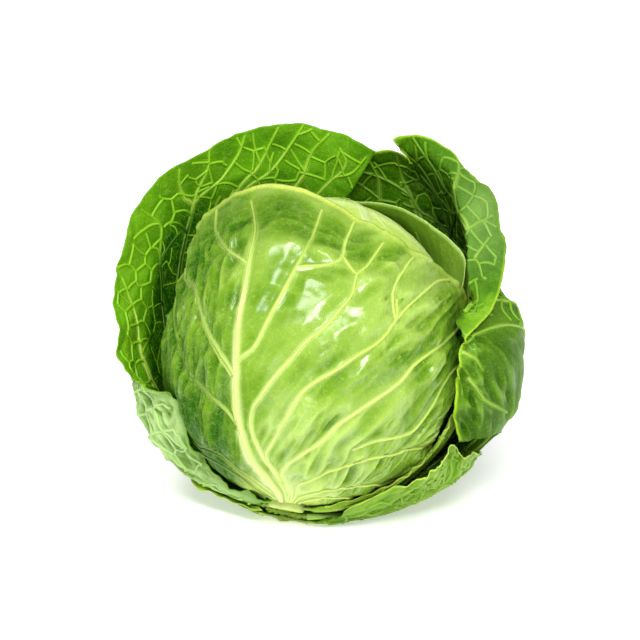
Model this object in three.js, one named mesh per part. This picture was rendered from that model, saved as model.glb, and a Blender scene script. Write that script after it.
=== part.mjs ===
import * as THREE from 'three';

// Whole head, in millimetres
const headHeight = 93.2;
const headMiddle = [-1.8, -14];
const viewTilt = 16;
const viewDistance = 1500;
const viewStep = 0.56;
const viewCentre = [320, 320];
const headSpot = [316, 351];
const longTop = 0.06;
const longLow = 0.02;

// Stem, pointing down and a little to the front left
const stemLean = [-0.19, -0.975, 0.1];
const stemRadius = 10.5;
const stemFrom = 81.6;
const stemTo = 90.5;
const stemSides = 28;

// Heart of the head
const heartRadius = 79;
const heartAround = 40;
const heartAlong = 20;
const heartStep = 0.8;
const heartStepWidth = 0.03;
const heartMargins = [
  { normal: [0.75, 0.35, 0.55], offset: 0.42 },
  { normal: [-0.55, 0.6, 0.35], offset: 0.5 },
  { normal: [0.2, 0.7, -0.68], offset: 0.55 },
];

// Blades
const rimThickness = 0.8;
const innerRibShare = 0.3;
const netRows = 9;
const betweenRows = 2;

const radians = (degrees) => (degrees * Math.PI) / 180;
const mix = (a, b, t) => a + (b - a) * t;
const clamp = (x, low, high) => Math.min(Math.max(x, low), high);

function smooth(x, from, to) {
  const t = clamp((x - from) / (to - from), 0, 1);
  return t * t * (3 - 2 * t);
}

function along(line, v) {
  // pairs of a number and the height where it holds, with straight runs between them
  if (v <= line[0][1]) return line[0][0];
  for (let i = 1; i < line.length; i += 1) {
    const [lastU, lastV] = line[i - 1];
    const [nextU, nextV] = line[i];
    if (v <= nextV) return mix(lastU, nextU, (v - lastV) / (nextV - lastV));
  }
  return line[line.length - 1][0];
}

// Directions: right, up and towards the viewer of the front
const stemAxis = new THREE.Vector3(...stemLean).normalize();
const stemFront = new THREE.Vector3(0, 0, 1).addScaledVector(stemAxis, -stemAxis.z).normalize();
const stemSide = new THREE.Vector3().crossVectors(stemFront, stemAxis);

function seen([across, down, near]) {
  // a point as it is seen from the front: steps across and down, and millimetres towards the viewer
  const scale = viewStep * (1 - near / viewDistance);
  const right = (across - viewCentre[0]) * scale + (viewCentre[0] - headSpot[0]) * viewStep;
  const up = (viewCentre[1] - down) * scale + (headSpot[1] - viewCentre[1]) * viewStep;
  return new THREE.Vector3(right, up, near);
}

function standing(p) {
  // from the viewer's directions to the upright ones, with the floor at zero
  const tilt = radians(viewTilt);
  return new THREE.Vector3(
    p.x + headMiddle[0],
    p.y * Math.sin(tilt) - p.z * Math.cos(tilt) + headMiddle[1],
    p.y * Math.cos(tilt) + p.z * Math.sin(tilt) + headHeight,
  );
}

function layerRadius(radius, direction) {
  const k = direction.dot(stemAxis);
  return radius * (1 + (k < 0 ? longTop : longLow) * k * k);
}

// Curves through points
function curveAt(points, t) {
  const last = points.length - 1;
  const x = clamp(t, 0, 1) * last;
  const i = Math.min(Math.floor(x), last - 1);
  const f = x - i;
  const b = points[i];
  const c = points[i + 1];
  const a = i > 0 ? points[i - 1] : b.clone().multiplyScalar(2).sub(c);
  const d = i < last - 1 ? points[i + 2] : c.clone().multiplyScalar(2).sub(b);
  return new THREE.Vector3()
    .addScaledVector(a, (-f + 2 * f * f - f * f * f) / 2)
    .addScaledVector(b, (2 - 5 * f * f + 3 * f * f * f) / 2)
    .addScaledVector(c, (f + 4 * f * f - 3 * f * f * f) / 2)
    .addScaledVector(d, (-f * f + f * f * f) / 2);
}

function eased(before, a, b, after, t) {
  // a point on the way from a to b, on a curve that doesn't swing past them
  const step = a.distanceTo(b);
  const ahead = b.clone().sub(a).normalize();
  const leave = a.clone().sub(before).normalize().add(ahead).multiplyScalar(step / 2);
  const onward = after ? after.clone().sub(b).normalize() : ahead.clone();
  const reach = onward.add(ahead).multiplyScalar(step / 2);
  return new THREE.Vector3()
    .addScaledVector(a, (1 + 2 * t) * (1 - t) ** 2)
    .addScaledVector(leave, t * (1 - t) ** 2)
    .addScaledVector(b, t * t * (3 - 2 * t))
    .addScaledVector(reach, t * t * (t - 1));
}

// Flat map of the directions round the one that a leaf faces
function mapOf(facing) {
  const middle = facing.clone().normalize();
  const upright = Math.abs(middle.y) < 0.8 ? new THREE.Vector3(0, 1, 0) : new THREE.Vector3(0, 0, 1);
  const north = upright.addScaledVector(middle, -upright.dot(middle)).normalize();
  return { middle, north, east: new THREE.Vector3().crossVectors(north, middle) };
}

function toMap(map, direction) {
  const d = direction.clone().normalize();
  const x = d.dot(map.east);
  const y = d.dot(map.north);
  const far = Math.acos(clamp(d.dot(map.middle), -1, 1));
  const flat = Math.max(Math.hypot(x, y), 1e-9);
  return [(far * x) / flat, (far * y) / flat];
}

function fromMap(map, [x, y]) {
  const far = Math.max(Math.hypot(x, y), 1e-9);
  return map.middle.clone().multiplyScalar(Math.cos(far))
    .addScaledVector(map.east, (Math.sin(far) * x) / far)
    .addScaledVector(map.north, (Math.sin(far) * y) / far);
}

// A leaf's surface: rows of points from the stem to the rim
function netOf(leaf) {
  const rows = leaf.rows.map((row) => row.map(seen));
  const wall = rows[0];
  const map = mapOf(new THREE.Vector3(...leaf.facing));
  const lean = Math.asin(leaf.baseRadius / leaf.layer);
  const lower = Array.from({ length: netRows }, () => []);
  wall.forEach((end, column) => {
    const angle = radians(along(leaf.angles, column / (wall.length - 1)));
    const start = stemAxis.clone().multiplyScalar(Math.cos(lean))
      .addScaledVector(stemFront, Math.sin(lean) * Math.cos(angle))
      .addScaledVector(stemSide, Math.sin(lean) * Math.sin(angle));
    const from = toMap(map, start);
    const to = toMap(map, end);
    const lift = end.length() - layerRadius(leaf.layer, end.clone().normalize());
    for (let row = 0; row < netRows; row += 1) {
      const t = row / (netRows - 1);
      const direction = fromMap(map, [mix(from[0], to[0], t), mix(from[1], to[1], t)]);
      const flare = clamp((t - leaf.flareFrom) / (1 - leaf.flareFrom), 0, 1) ** leaf.flarePower;
      lower[row].push(direction.clone().multiplyScalar(layerRadius(leaf.layer, direction) + lift * flare));
    }
  });
  const share = rows.length > 1 ? leaf.wallShare : 1;
  const net = [...lower];
  const heights = lower.map((_, row) => (share * row) / (netRows - 1));
  for (let upper = 1; upper < rows.length; upper += 1) {
    const before = upper > 1 ? rows[upper - 2] : lower[netRows - 2];
    for (let part = 1; part <= betweenRows + 1; part += 1) {
      const t = part / (betweenRows + 1);
      net.push(rows[upper].map((b, i) => eased(before[i], rows[upper - 1][i], b, rows[upper + 1]?.[i], t)));
      heights.push(mix(share, 1, (upper - 1 + t) / (rows.length - 1)));
    }
  }
  return { rows: net, heights };
}

function surfaceOf(leaf) {
  const net = netOf(leaf);
  const places = net.heights.map((height, i) => [i / (net.heights.length - 1), height]);
  const bare = (u, v) => curveAt(net.rows.map((row) => curveAt(row, u)), along(places, v));
  const normal = (u, v) => {
    const du = 0.004;
    const dv = 0.01;
    const u0 = clamp(u - du, 0, 1);
    const u1 = clamp(u + du, 0, 1);
    const v0 = clamp(v - dv, 0, 1);
    const v1 = clamp(v + dv, 0, 1);
    const across = bare(u1, v).sub(bare(u0, v));
    const upward = bare(u, v1).sub(bare(u, v0));
    return across.cross(upward).normalize().multiplyScalar(leaf.turn);
  };
  return { bare, normal };
}

function waveOf(leaf, u, v) {
  let height = 0;
  for (const { count, size, from, phase } of leaf.waves) {
    height += size * Math.sin(2 * Math.PI * count * u + phase) * smooth(v, from, 1);
  }
  for (const { at, reach, size } of leaf.dents) {
    const far = ((u - at[0]) / reach[0]) ** 2 + ((v - at[1]) / reach[1]) ** 2;
    height += size * Math.exp(-far);
  }
  return height;
}

// Columns of the grid follow the ribs, so that each rib is a raised fold
function columnsAt(leaf, v) {
  const columns = [{ u: 0, rise: 0 }];
  let last = 0;
  const fill = (to, parts) => {
    for (let part = 1; part <= parts; part += 1) {
      columns.push({ u: mix(last, to, part / (parts + 1)), rise: 0 });
    }
  };
  leaf.ribs.forEach(({ line, width, rise }, i) => {
    const u = along(line, v);
    const fade = 1 - 0.75 * v;
    const start = leaf.ribsFrom ? mix(0.3, 1, smooth(v, 0, leaf.ribsFrom)) : 1;
    fill(u - width, leaf.between[i]);
    columns.push({ u: u - width, rise: 0 });
    columns.push({ u, rise: rise * fade * start });
    columns.push({ u: u + width, rise: 0 });
    last = u + width;
  });
  fill(1, leaf.between[leaf.ribs.length]);
  columns.push({ u: 1, rise: 0 });
  return columns;
}

function bladeOf(leaf) {
  const { bare, normal } = surfaceOf(leaf);
  const faces = [[], []];
  const count = leaf.tall;
  for (let row = 0; row <= count; row += 1) {
    const v = row / count;
    const thickness = mix(leaf.thickness, rimThickness, smooth(v, 0, 0.8));
    for (const { u, rise } of columnsAt(leaf, v)) {
      const out = normal(u, v);
      const middle = bare(u, v).addScaledVector(out, waveOf(leaf, u, v));
      const edge = smooth(v, 1.0, 0.93);
      const outer = standing(middle.clone().addScaledVector(out, thickness / 2 + rise));
      const innerDepth = thickness / 2 + rise * innerRibShare * edge;
      const inner = standing(middle.clone().addScaledVector(out, -innerDepth));
      outer.z = Math.max(outer.z, leaf.floor);
      inner.z = Math.max(inner.z, leaf.floor + thickness);
      faces[0].push(outer);
      faces[1].push(inner);
    }
  }
  return closedSheet(faces, faces[0].length / (count + 1), count + 1, leaf.turn);
}

function closedSheet([outer, inner], wide, tall, turn) {
  const points = [...outer, ...inner];
  const triangles = [];
  const at = (face, i, j) => face * wide * tall + j * wide + i;
  const add = (a, b, c) => triangles.push(...(turn > 0 ? [a, b, c] : [a, c, b]));
  for (let j = 0; j < tall - 1; j += 1) {
    for (let i = 0; i < wide - 1; i += 1) {
      add(at(0, i, j), at(0, i + 1, j), at(0, i + 1, j + 1));
      add(at(0, i, j), at(0, i + 1, j + 1), at(0, i, j + 1));
      add(at(1, i, j), at(1, i + 1, j + 1), at(1, i + 1, j));
      add(at(1, i, j), at(1, i, j + 1), at(1, i + 1, j + 1));
    }
  }
  const border = [];
  for (let i = 0; i < wide - 1; i += 1) border.push([i, 0]);
  for (let j = 0; j < tall - 1; j += 1) border.push([wide - 1, j]);
  for (let i = wide - 1; i > 0; i -= 1) border.push([i, tall - 1]);
  for (let j = tall - 1; j > 0; j -= 1) border.push([0, j]);
  border.forEach(([i, j], n) => {
    const [i2, j2] = border[(n + 1) % border.length];
    add(at(0, i2, j2), at(0, i, j), at(1, i, j));
    add(at(0, i2, j2), at(1, i, j), at(1, i2, j2));
  });
  return geometryOf(points, triangles);
}

function geometryOf(points, triangles) {
  const geometry = new THREE.BufferGeometry();
  const flat = points.flatMap((p) => [p.x, p.y, p.z]);
  geometry.setAttribute('position', new THREE.Float32BufferAttribute(flat, 3));
  geometry.setIndex(triangles);
  geometry.computeVertexNormals();
  return geometry;
}

// Heart: a close ball with the margins of its leaves raised as low steps
function heartOf() {
  const points = [];
  const triangles = [];
  const place = (direction) => {
    let radius = layerRadius(heartRadius, direction);
    for (const { normal, offset } of heartMargins) {
      const side = direction.dot(new THREE.Vector3(...normal).normalize()) - offset;
      radius += heartStep * smooth(side, -heartStepWidth, heartStepWidth) * (1 - smooth(side, 0.1, 0.5));
    }
    points.push(standing(direction.clone().multiplyScalar(radius)));
  };
  place(stemAxis.clone());
  for (let ring = 1; ring < heartAlong; ring += 1) {
    const far = (Math.PI * ring) / heartAlong;
    for (let step = 0; step < heartAround; step += 1) {
      const angle = (2 * Math.PI * step) / heartAround;
      place(stemAxis.clone().multiplyScalar(Math.cos(far))
        .addScaledVector(stemFront, Math.sin(far) * Math.cos(angle))
        .addScaledVector(stemSide, Math.sin(far) * Math.sin(angle)));
    }
  }
  place(stemAxis.clone().negate());
  const last = points.length - 1;
  const at = (ring, step) => 1 + (ring - 1) * heartAround + (step % heartAround);
  for (let step = 0; step < heartAround; step += 1) {
    triangles.push(0, at(1, step + 1), at(1, step));
    triangles.push(last, at(heartAlong - 1, step), at(heartAlong - 1, step + 1));
    for (let ring = 1; ring < heartAlong - 1; ring += 1) {
      triangles.push(at(ring, step), at(ring + 1, step + 1), at(ring + 1, step));
      triangles.push(at(ring, step), at(ring, step + 1), at(ring + 1, step + 1));
    }
  }
  return geometryOf(points, triangles);
}

// Stem: a short stub with a bevelled cut
function stemOf() {
  const profile = [
    [0, stemFrom], [stemRadius, stemFrom], [stemRadius, stemTo - 1],
    [stemRadius - 1, stemTo], [0, stemTo],
  ];
  const points = [];
  const triangles = [];
  profile.forEach(([radius, height]) => {
    const steps = radius === 0 ? 1 : stemSides;
    for (let step = 0; step < steps; step += 1) {
      const angle = (2 * Math.PI * step) / stemSides;
      points.push(standing(stemAxis.clone().multiplyScalar(height)
        .addScaledVector(stemFront, radius * Math.cos(angle))
        .addScaledVector(stemSide, radius * Math.sin(angle))));
    }
  });
  const last = points.length - 1;
  const rings = profile.length - 2;
  const at = (ring, step) => 1 + ring * stemSides + (step % stemSides);
  for (let step = 0; step < stemSides; step += 1) {
    triangles.push(0, at(0, step), at(0, step + 1));
    triangles.push(last, at(rings - 1, step + 1), at(rings - 1, step));
    for (let ring = 0; ring < rings - 1; ring += 1) {
      triangles.push(at(ring, step), at(ring + 1, step + 1), at(ring, step + 1));
      triangles.push(at(ring, step), at(ring + 1, step), at(ring + 1, step + 1));
    }
  }
  return geometryOf(points, triangles);
}

// Leaves, from the inside to the outside
const upright = (u) => [[u, 0], [u, 1]];

const innerWrapper = {
  name: 'inner_wrapper',
  colour: 0x9dbf6a,
  facing: [50, 20, -70],
  layer: 82.1,
  angles: [[60, 0], [215, 1]],
  baseRadius: 12.2,
  flareFrom: 0.84,
  flarePower: 1.3,
  thickness: 0.9,
  floor: 6.6,
  turn: 1,
  tall: 12,
  rows: [
    [
      [418, 445, 30], [440, 420, 26], [455, 385, 23], [462, 345, 18], [461, 300, 8], [466, 262, 8],
      [450, 240, 8], [430, 223, 8], [405, 210, 6], [380, 203, 0], [345, 199, -8], [318, 200, -22],
      [280, 220, -45], [240, 260, -58], [218, 320, -63], [222, 390, -62], [245, 440, -54],
    ],
  ],
  ribsFrom: 0.35,
  ribs: [
    { line: upright(0.28), width: 0.012, rise: 0.5 },
    { line: upright(0.5), width: 0.014, rise: 0.6 },
    { line: upright(0.72), width: 0.012, rise: 0.5 },
  ],
  between: [3, 3, 3, 3],
  waves: [{ count: 6, size: 0.5, from: 0.9, phase: 0.4 }],
  dents: [],
};

const frontLeaf = {
  name: 'front_leaf',
  colour: 0xa9d35c,
  facing: [-5, 0, 90],
  layer: 84.4,
  angles: [[-110, 0], [110, 1]],
  baseRadius: 12.2,
  flareFrom: 0.8,
  flarePower: 1.3,
  thickness: 1.3,
  floor: 0,
  turn: 1,
  tall: 24,
  rows: [
    [
      [258, 496, 2], [222, 473, -3], [194, 444, -5], [175, 408, -15], [166, 380, -14], [165, 340, -12],
      [172, 305, 0], [180, 278, 8], [195, 240, 12], [213, 209, 8], [240, 193, 8], [270, 189, 14],
      [300, 195, 22], [330, 204, 33], [360, 219, 42], [390, 235, 44], [420, 256, 38], [450, 277, 18],
      [466, 298, 10], [466, 330, 8], [464, 365, 16], [452, 395, 30], [442, 422, 26], [432, 443, 22],
      [418, 462, 16], [404, 476, 10], [376, 493, 2], [345, 502, 4], [318, 506, 3],
    ],
  ],
  ribsFrom: 0,
  ribs: [
    {
      line: [
        [0.33, 0], [0.28, 0.15], [0.215, 0.27], [0.17, 0.37],
        [0.165, 0.46], [0.185, 0.6], [0.21, 0.84],
      ],
      width: 0.008, rise: 1.4,
    },
    {
      line: [
        [0.38, 0], [0.34, 0.1], [0.3, 0.25], [0.305, 0.4],
        [0.295, 0.6], [0.285, 0.75], [0.268, 0.9],
      ],
      width: 0.008, rise: 1.3,
    },
    {
      line: [
        [0.44, 0], [0.42, 0.06], [0.365, 0.2], [0.348, 0.3],
        [0.352, 0.4], [0.368, 0.57], [0.38, 0.74], [0.374, 0.95],
      ],
      width: 0.009, rise: 2.6,
    },
    {
      line: [
        [0.465, 0], [0.45, 0.06], [0.392, 0.2], [0.38, 0.3],
        [0.378, 0.44], [0.412, 0.56], [0.442, 0.71], [0.458, 0.94],
      ],
      width: 0.008, rise: 1.6,
    },
    {
      line: [
        [0.488, 0], [0.475, 0.08], [0.42, 0.2], [0.41, 0.32], [0.428, 0.42],
        [0.46, 0.5], [0.492, 0.61], [0.514, 0.75], [0.53, 0.96],
      ],
      width: 0.008, rise: 2,
    },
    {
      line: [
        [0.51, 0], [0.498, 0.1], [0.455, 0.22], [0.47, 0.33],
        [0.5, 0.45], [0.546, 0.58], [0.568, 0.7], [0.58, 0.95],
      ],
      width: 0.008, rise: 1.9,
    },
    {
      line: [
        [0.535, 0], [0.525, 0.1], [0.512, 0.22], [0.562, 0.38],
        [0.602, 0.54], [0.625, 0.7], [0.655, 0.88],
      ],
      width: 0.008, rise: 1.8,
    },
    {
      line: [
        [0.56, 0], [0.556, 0.1], [0.588, 0.24], [0.655, 0.38],
        [0.695, 0.5], [0.7, 0.62], [0.72, 0.85],
      ],
      width: 0.008, rise: 1.5,
    },
    {
      line: [
        [0.59, 0], [0.6, 0.12], [0.648, 0.24],
        [0.71, 0.38], [0.76, 0.6], [0.8, 0.85],
      ],
      width: 0.008, rise: 1.3,
    },
    {
      line: [
        [0.64, 0], [0.66, 0.12], [0.71, 0.24],
        [0.78, 0.38], [0.85, 0.6], [0.88, 0.85],
      ],
      width: 0.008, rise: 0.7,
    },
  ],
  between: [2, 1, 1, 0, 0, 0, 0, 0, 1, 1, 2],
  waves: [
    { count: 7, size: 0.8, from: 0.8, phase: 1.1 },
    { count: 3, size: 0.5, from: 0.3, phase: 0.5 },
  ],
  dents: [
    { at: [0.575, 0.78], reach: [0.022, 0.06], size: -1.4 },
    { at: [0.6, 0.86], reach: [0.03, 0.06], size: 1 },
    { at: [0.8, 0.62], reach: [0.03, 0.14], size: -1.2 },
  ],
};

const backLeaf = {
  name: 'back_leaf',
  colour: 0x4a8526,
  facing: [0, 20, -90],
  layer: 86.1,
  angles: [[110, 0], [250, 1]],
  baseRadius: 12.4,
  flareFrom: 0.45,
  flarePower: 1.6,
  thickness: 1,
  floor: 5.2,
  turn: 1,
  tall: 12,
  rows: [
    [
      [440, 400, -50], [452, 350, -52], [448, 300, -52], [436, 262, -54], [420, 236, -56], [400, 216, -56],
      [376, 205, -58], [350, 199, -60], [322, 197, -62], [290, 201, -64], [262, 213, -66], [238, 232, -68],
      [218, 265, -68], [204, 305, -66], [200, 350, -62], [208, 395, -56],
    ],
  ],
  ribsFrom: 0.35,
  ribs: [
    { line: upright(0.16), width: 0.012, rise: 0.5 },
    { line: upright(0.33), width: 0.012, rise: 0.6 },
    { line: upright(0.5), width: 0.014, rise: 0.7 },
    { line: upright(0.67), width: 0.012, rise: 0.6 },
    { line: upright(0.84), width: 0.012, rise: 0.5 },
  ],
  between: [1, 1, 1, 1, 1, 1],
  waves: [
    { count: 6, size: 1.4, from: 0.75, phase: 0.9 },
    { count: 11, size: 0.6, from: 0.85, phase: 0.2 },
  ],
  dents: [],
};

const lowerRightLeaf = {
  name: 'lower_right_leaf',
  colour: 0x7fb043,
  facing: [60, -60, 20],
  layer: 87.2,
  angles: [[52, 0], [125, 1]],
  baseRadius: 12.4,
  flareFrom: 0.5,
  flarePower: 1.5,
  thickness: 1,
  floor: 5.2,
  turn: 1,
  tall: 11,
  rows: [
    [
      [326, 506, 24], [352, 500, 24], [374, 492, 26], [396, 482, 27], [414, 470, 27], [430, 455, 27],
      [440, 440, 28], [448, 426, 28], [456, 410, 24], [466, 392, 8], [470, 382, -6], [466, 396, -18],
      [456, 415, -26], [444, 432, -32],
    ],
  ],
  ribsFrom: 0.35,
  ribs: [
    { line: upright(0.3), width: 0.014, rise: 0.5 },
    { line: upright(0.55), width: 0.014, rise: 0.6 },
    { line: upright(0.8), width: 0.014, rise: 0.4 },
  ],
  between: [5, 5, 3, 1],
  waves: [{ count: 15, size: 0.7, from: 0.75, phase: 0 }],
  dents: [],
};

const backLeftLeaf = {
  name: 'back_left_leaf',
  colour: 0x5f9a2c,
  facing: [-60, 10, -70],
  layer: 88.5,
  angles: [[280, 0], [248, 0.08], [228, 0.19], [148, 1]],
  baseRadius: 12.6,
  flareFrom: 0.25,
  flarePower: 1.5,
  wallShare: 0.68,
  thickness: 1.2,
  floor: 3.4,
  turn: -1,
  tall: 16,
  rows: [
    [
      [262, 502, 13], [256, 503, 8], [246, 502, 3], [232, 495, -3], [214, 488, -6], [194, 478, -10],
      [175, 464, -8], [158, 448, -6], [146, 428, -8], [139, 408, -12], [137, 392, -18], [138, 372, -25],
      [140, 350, -32], [143, 330, -38], [146, 308, -43], [152, 285, -48], [158, 262, -52], [166, 240, -56],
      [180, 222, -60], [198, 206, -64], [220, 194, -67], [243, 186, -69], [268, 181, -71], [292, 181, -73],
      [312, 184, -74], [330, 189, -74], [348, 196, -74],
    ],
    [
      [272, 497, 24], [262, 499, 21], [250, 496, 20], [235, 489, 16], [222, 480, 12], [205, 466, 8],
      [194, 446, 16], [186, 422, 27], [177, 404, 31], [161, 389, 24], [143, 385, 10], [131, 378, 0],
      [121, 360, -5], [118, 332, -10], [113, 305, -15], [118, 275, -20], [121, 248, -28], [128, 218, -34],
      [148, 190, -40], [172, 166, -45], [205, 151, -51], [235, 135, -55], [268, 124, -58], [300, 121, -60],
      [325, 129, -60], [350, 136, -60], [376, 151, -60],
    ],
  ],
  ribsFrom: 0.35,
  ribs: [
    { line: upright(0.2), width: 0.008, rise: 0.5 },
    { line: upright(0.34), width: 0.008, rise: 0.6 },
    { line: upright(0.47), width: 0.008, rise: 0.7 },
    { line: [[0.62, 0], [0.62, 0.6], [0.6, 0.75], [0.63, 1]], width: 0.008, rise: 0.9 },
    { line: [[0.71, 0], [0.71, 0.6], [0.725, 0.8], [0.72, 1]], width: 0.008, rise: 0.9 },
    { line: upright(0.775), width: 0.008, rise: 0.9 },
    { line: [[0.83, 0], [0.84, 0.8], [0.86, 1]], width: 0.007, rise: 0.8 },
    { line: [[0.885, 0], [0.885, 0.85], [0.892, 1]], width: 0.007, rise: 0.7 },
    { line: [[0.94, 0], [0.945, 0.85], [0.93, 1]], width: 0.007, rise: 0.6 },
  ],
  between: [3, 2, 1, 2, 1, 0, 0, 0, 0, 0],
  waves: [
    { count: 9, size: 1.6, from: 0.7, phase: 0.3 },
    { count: 17, size: 0.7, from: 0.85, phase: 1.4 },
  ],
  dents: [],
};

const rightLeaf = {
  name: 'right_leaf',
  colour: 0x6da43c,
  facing: [70, 0, -55],
  layer: 90.8,
  angles: [[238, 0], [66, 1]],
  baseRadius: 13,
  flareFrom: 0.32,
  flarePower: 1.4,
  wallShare: 0.62,
  thickness: 1.2,
  floor: 1.6,
  turn: -1,
  tall: 18,
  rows: [
    [
      [296, 240, -96], [322, 230, -97], [350, 226, -97], [376, 224, -95], [402, 226, -90], [424, 231, -84],
      [438, 236, -80], [450, 245, -72], [460, 255, -62], [470, 262, -52], [480, 272, -42], [490, 285, -32],
      [500, 295, -22], [510, 303, -16], [517, 312, -12], [521, 325, -8], [523, 340, -5], [521, 365, -3],
      [519, 392, -3], [512, 410, -5], [497, 434, -7],
    ],
    [
      [310, 195, -90], [334, 186, -88], [360, 180, -86], [385, 181, -83], [405, 182, -78], [416, 172, -68],
      [422, 170, -60], [435, 172, -48], [449, 178, -32], [455, 195, -18], [464, 222, -6], [468, 245, 2],
      [468, 268, 10], [469, 288, 20], [471, 301, 34], [457, 320, 46], [478, 338, 42], [484, 354, 40],
      [484, 384, 36], [484, 412, 28], [482, 438, 16],
    ],
    [
      [316, 172, -80], [338, 162, -76], [358, 156, -73], [380, 150, -70], [406, 154, -64], [410, 162, -56],
      [392, 138, -50], [415, 134, -46], [445, 145, -42], [468, 170, -38], [492, 190, -31], [503, 225, -20],
      [506, 250, -10], [504, 280, 10], [494, 308, 30], [468, 337, 48], [461, 344, 46], [457, 362, 46],
      [455, 385, 42], [453, 414, 38], [458, 441, 26],
    ],
  ],
  ribsFrom: 0.35,
  ribs: [
    { line: upright(0.1), width: 0.009, rise: 0.6 },
    { line: upright(0.2), width: 0.009, rise: 0.7 },
    { line: [[0.3, 0], [0.32, 0.7], [0.3, 1]], width: 0.008, rise: 0.9 },
    { line: [[0.4, 0], [0.4, 1]], width: 0.008, rise: 0.8 },
    { line: [[0.49, 0], [0.5, 0.8], [0.5, 1]], width: 0.008, rise: 1 },
    { line: [[0.57, 0], [0.57, 1]], width: 0.008, rise: 0.8 },
    { line: [[0.66, 0], [0.69, 0.7], [0.69, 1]], width: 0.008, rise: 0.8 },
    { line: [[0.76, 0], [0.78, 0.68], [0.78, 1]], width: 0.008, rise: 0.9 },
    { line: [[0.87, 0], [0.88, 0.68], [0.88, 1]], width: 0.008, rise: 0.8 },
  ],
  between: [2, 1, 1, 1, 0, 0, 1, 1, 1, 2],
  waves: [
    { count: 13, size: 0.8, from: 0.85, phase: 0.6 },
  ],
  dents: [
    { at: [0.6, 0.9], reach: [0.02, 0.08], size: 1.2 },
    { at: [0.7, 0.88], reach: [0.035, 0.06], size: 3 },
    { at: [0.86, 0.75], reach: [0.03, 0.12], size: 2 },
    { at: [0.95, 0.72], reach: [0.03, 0.12], size: 2.4 },
  ],
};

const underLeaf = {
  name: 'under_leaf',
  colour: 0x567f2a,
  facing: [10, -60, -60],
  layer: 93.9,
  angles: [[262, 0], [100, 1]],
  baseRadius: 13.4,
  flareFrom: 0.25,
  flarePower: 1.3,
  wallShare: 0.74,
  thickness: 1.2,
  floor: 0,
  turn: -1,
  tall: 14,
  rows: [
    [
      [258, 506, 9], [252, 505, 5], [236, 500, -3], [220, 493, -8], [206, 480, -14], [199, 464, -27],
      [198, 446, -42], [208, 431, -58], [226, 421, -71], [250, 414, -81], [279, 409, -89], [310, 407, -92],
      [344, 410, -92], [379, 416, -86], [408, 422, -76], [431, 427, -62], [448, 431, -48], [460, 446, -38],
      [467, 457, -25], [468, 463, -12], [465, 469, -4], [459, 475, 0], [448, 483, 3], [434, 488, 6],
      [416, 495, 9], [394, 504, 12], [368, 511, 14], [338, 517, 14],
    ],
    [
      [260, 508, 12], [252, 509, 8], [232, 503, 2], [213, 495, -6], [195, 486, -12], [188, 464, -24],
      [187, 434, -45], [199, 414, -66], [219, 401, -82], [248, 391, -92], [279, 385, -98], [310, 383, -102],
      [346, 386, -102], [380, 391, -95], [413, 399, -86], [438, 406, -72], [456, 418, -57], [471, 436, -43],
      [480, 448, -27], [481, 453, -5], [474, 454, 13], [464, 452, 27], [454, 445, 32], [446, 456, 35],
      [434, 468, 36], [415, 479, 35], [388, 493, 31], [344, 510, 23],
    ],
  ],
  ribsFrom: 0.35,
  ribs: [
    { line: upright(0.22), width: 0.01, rise: 0.5 },
    { line: upright(0.36), width: 0.01, rise: 0.7 },
    { line: upright(0.5), width: 0.012, rise: 0.9 },
    { line: upright(0.64), width: 0.01, rise: 0.7 },
    { line: upright(0.78), width: 0.01, rise: 0.5 },
  ],
  between: [3, 2, 2, 2, 3, 5],
  waves: [
    { count: 8, size: 1.2, from: 0.75, phase: 0.2 },
    { count: 13, size: 0.9, from: 0.86, phase: 0.9 },
  ],
  dents: [],
};

const leaves = [innerWrapper, frontLeaf, backLeaf, lowerRightLeaf, backLeftLeaf, rightLeaf, underLeaf];

const cabbage = new THREE.Group();
cabbage.name = 'cabbage';

function addPiece(name, geometry, colour) {
  const material = new THREE.MeshStandardMaterial({ color: colour, roughness: 0.5 });
  const mesh = new THREE.Mesh(geometry, material);
  mesh.name = name;
  cabbage.add(mesh);
}

addPiece('stem', stemOf(), 0xd9e6b0);
addPiece('heart', heartOf(), 0xc4e07a);
for (const leaf of leaves) addPiece(leaf.name, bladeOf(leaf), leaf.colour);

export default cabbage;
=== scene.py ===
import math

import bpy
import numpy as np
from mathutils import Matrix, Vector


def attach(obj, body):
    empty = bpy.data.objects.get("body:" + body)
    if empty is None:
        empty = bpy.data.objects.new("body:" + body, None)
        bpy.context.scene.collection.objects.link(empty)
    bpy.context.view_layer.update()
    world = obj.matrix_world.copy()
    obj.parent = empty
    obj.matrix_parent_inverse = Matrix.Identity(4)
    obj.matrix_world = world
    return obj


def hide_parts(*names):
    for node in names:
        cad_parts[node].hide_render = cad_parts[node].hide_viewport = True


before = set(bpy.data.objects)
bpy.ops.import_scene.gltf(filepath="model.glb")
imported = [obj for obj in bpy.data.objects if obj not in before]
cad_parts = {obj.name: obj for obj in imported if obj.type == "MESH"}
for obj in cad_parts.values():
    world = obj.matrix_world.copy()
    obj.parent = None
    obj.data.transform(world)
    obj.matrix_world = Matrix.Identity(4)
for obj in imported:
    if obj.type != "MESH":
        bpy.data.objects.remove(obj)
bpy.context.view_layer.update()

# The head, in millimetres
head = {
    "height": 93.2,          # the middle of the head over the floor
    "middle": (-1.8, -14.0),
    "tilt": 16.0,            # the front view looks down by this
    "distance": 1500.0,
    "step": 0.56,            # one step across or down in the front view
    "centre": (320.0, 320.0),
    "spot": (316.0, 351.0),
    "longTop": 0.06,
    "longLow": 0.02,
    "stem": (-0.19, -0.975, 0.1),
}


def unit(v):
    v = np.asarray(v, float)
    return v / np.maximum(np.linalg.norm(v, axis=-1, keepdims=True), 1e-12)


stemAxis = unit(head["stem"])
stemFront = unit(np.array([0, 0, 1.0]) - stemAxis[2] * stemAxis)
stemSide = np.cross(stemFront, stemAxis)


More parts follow.
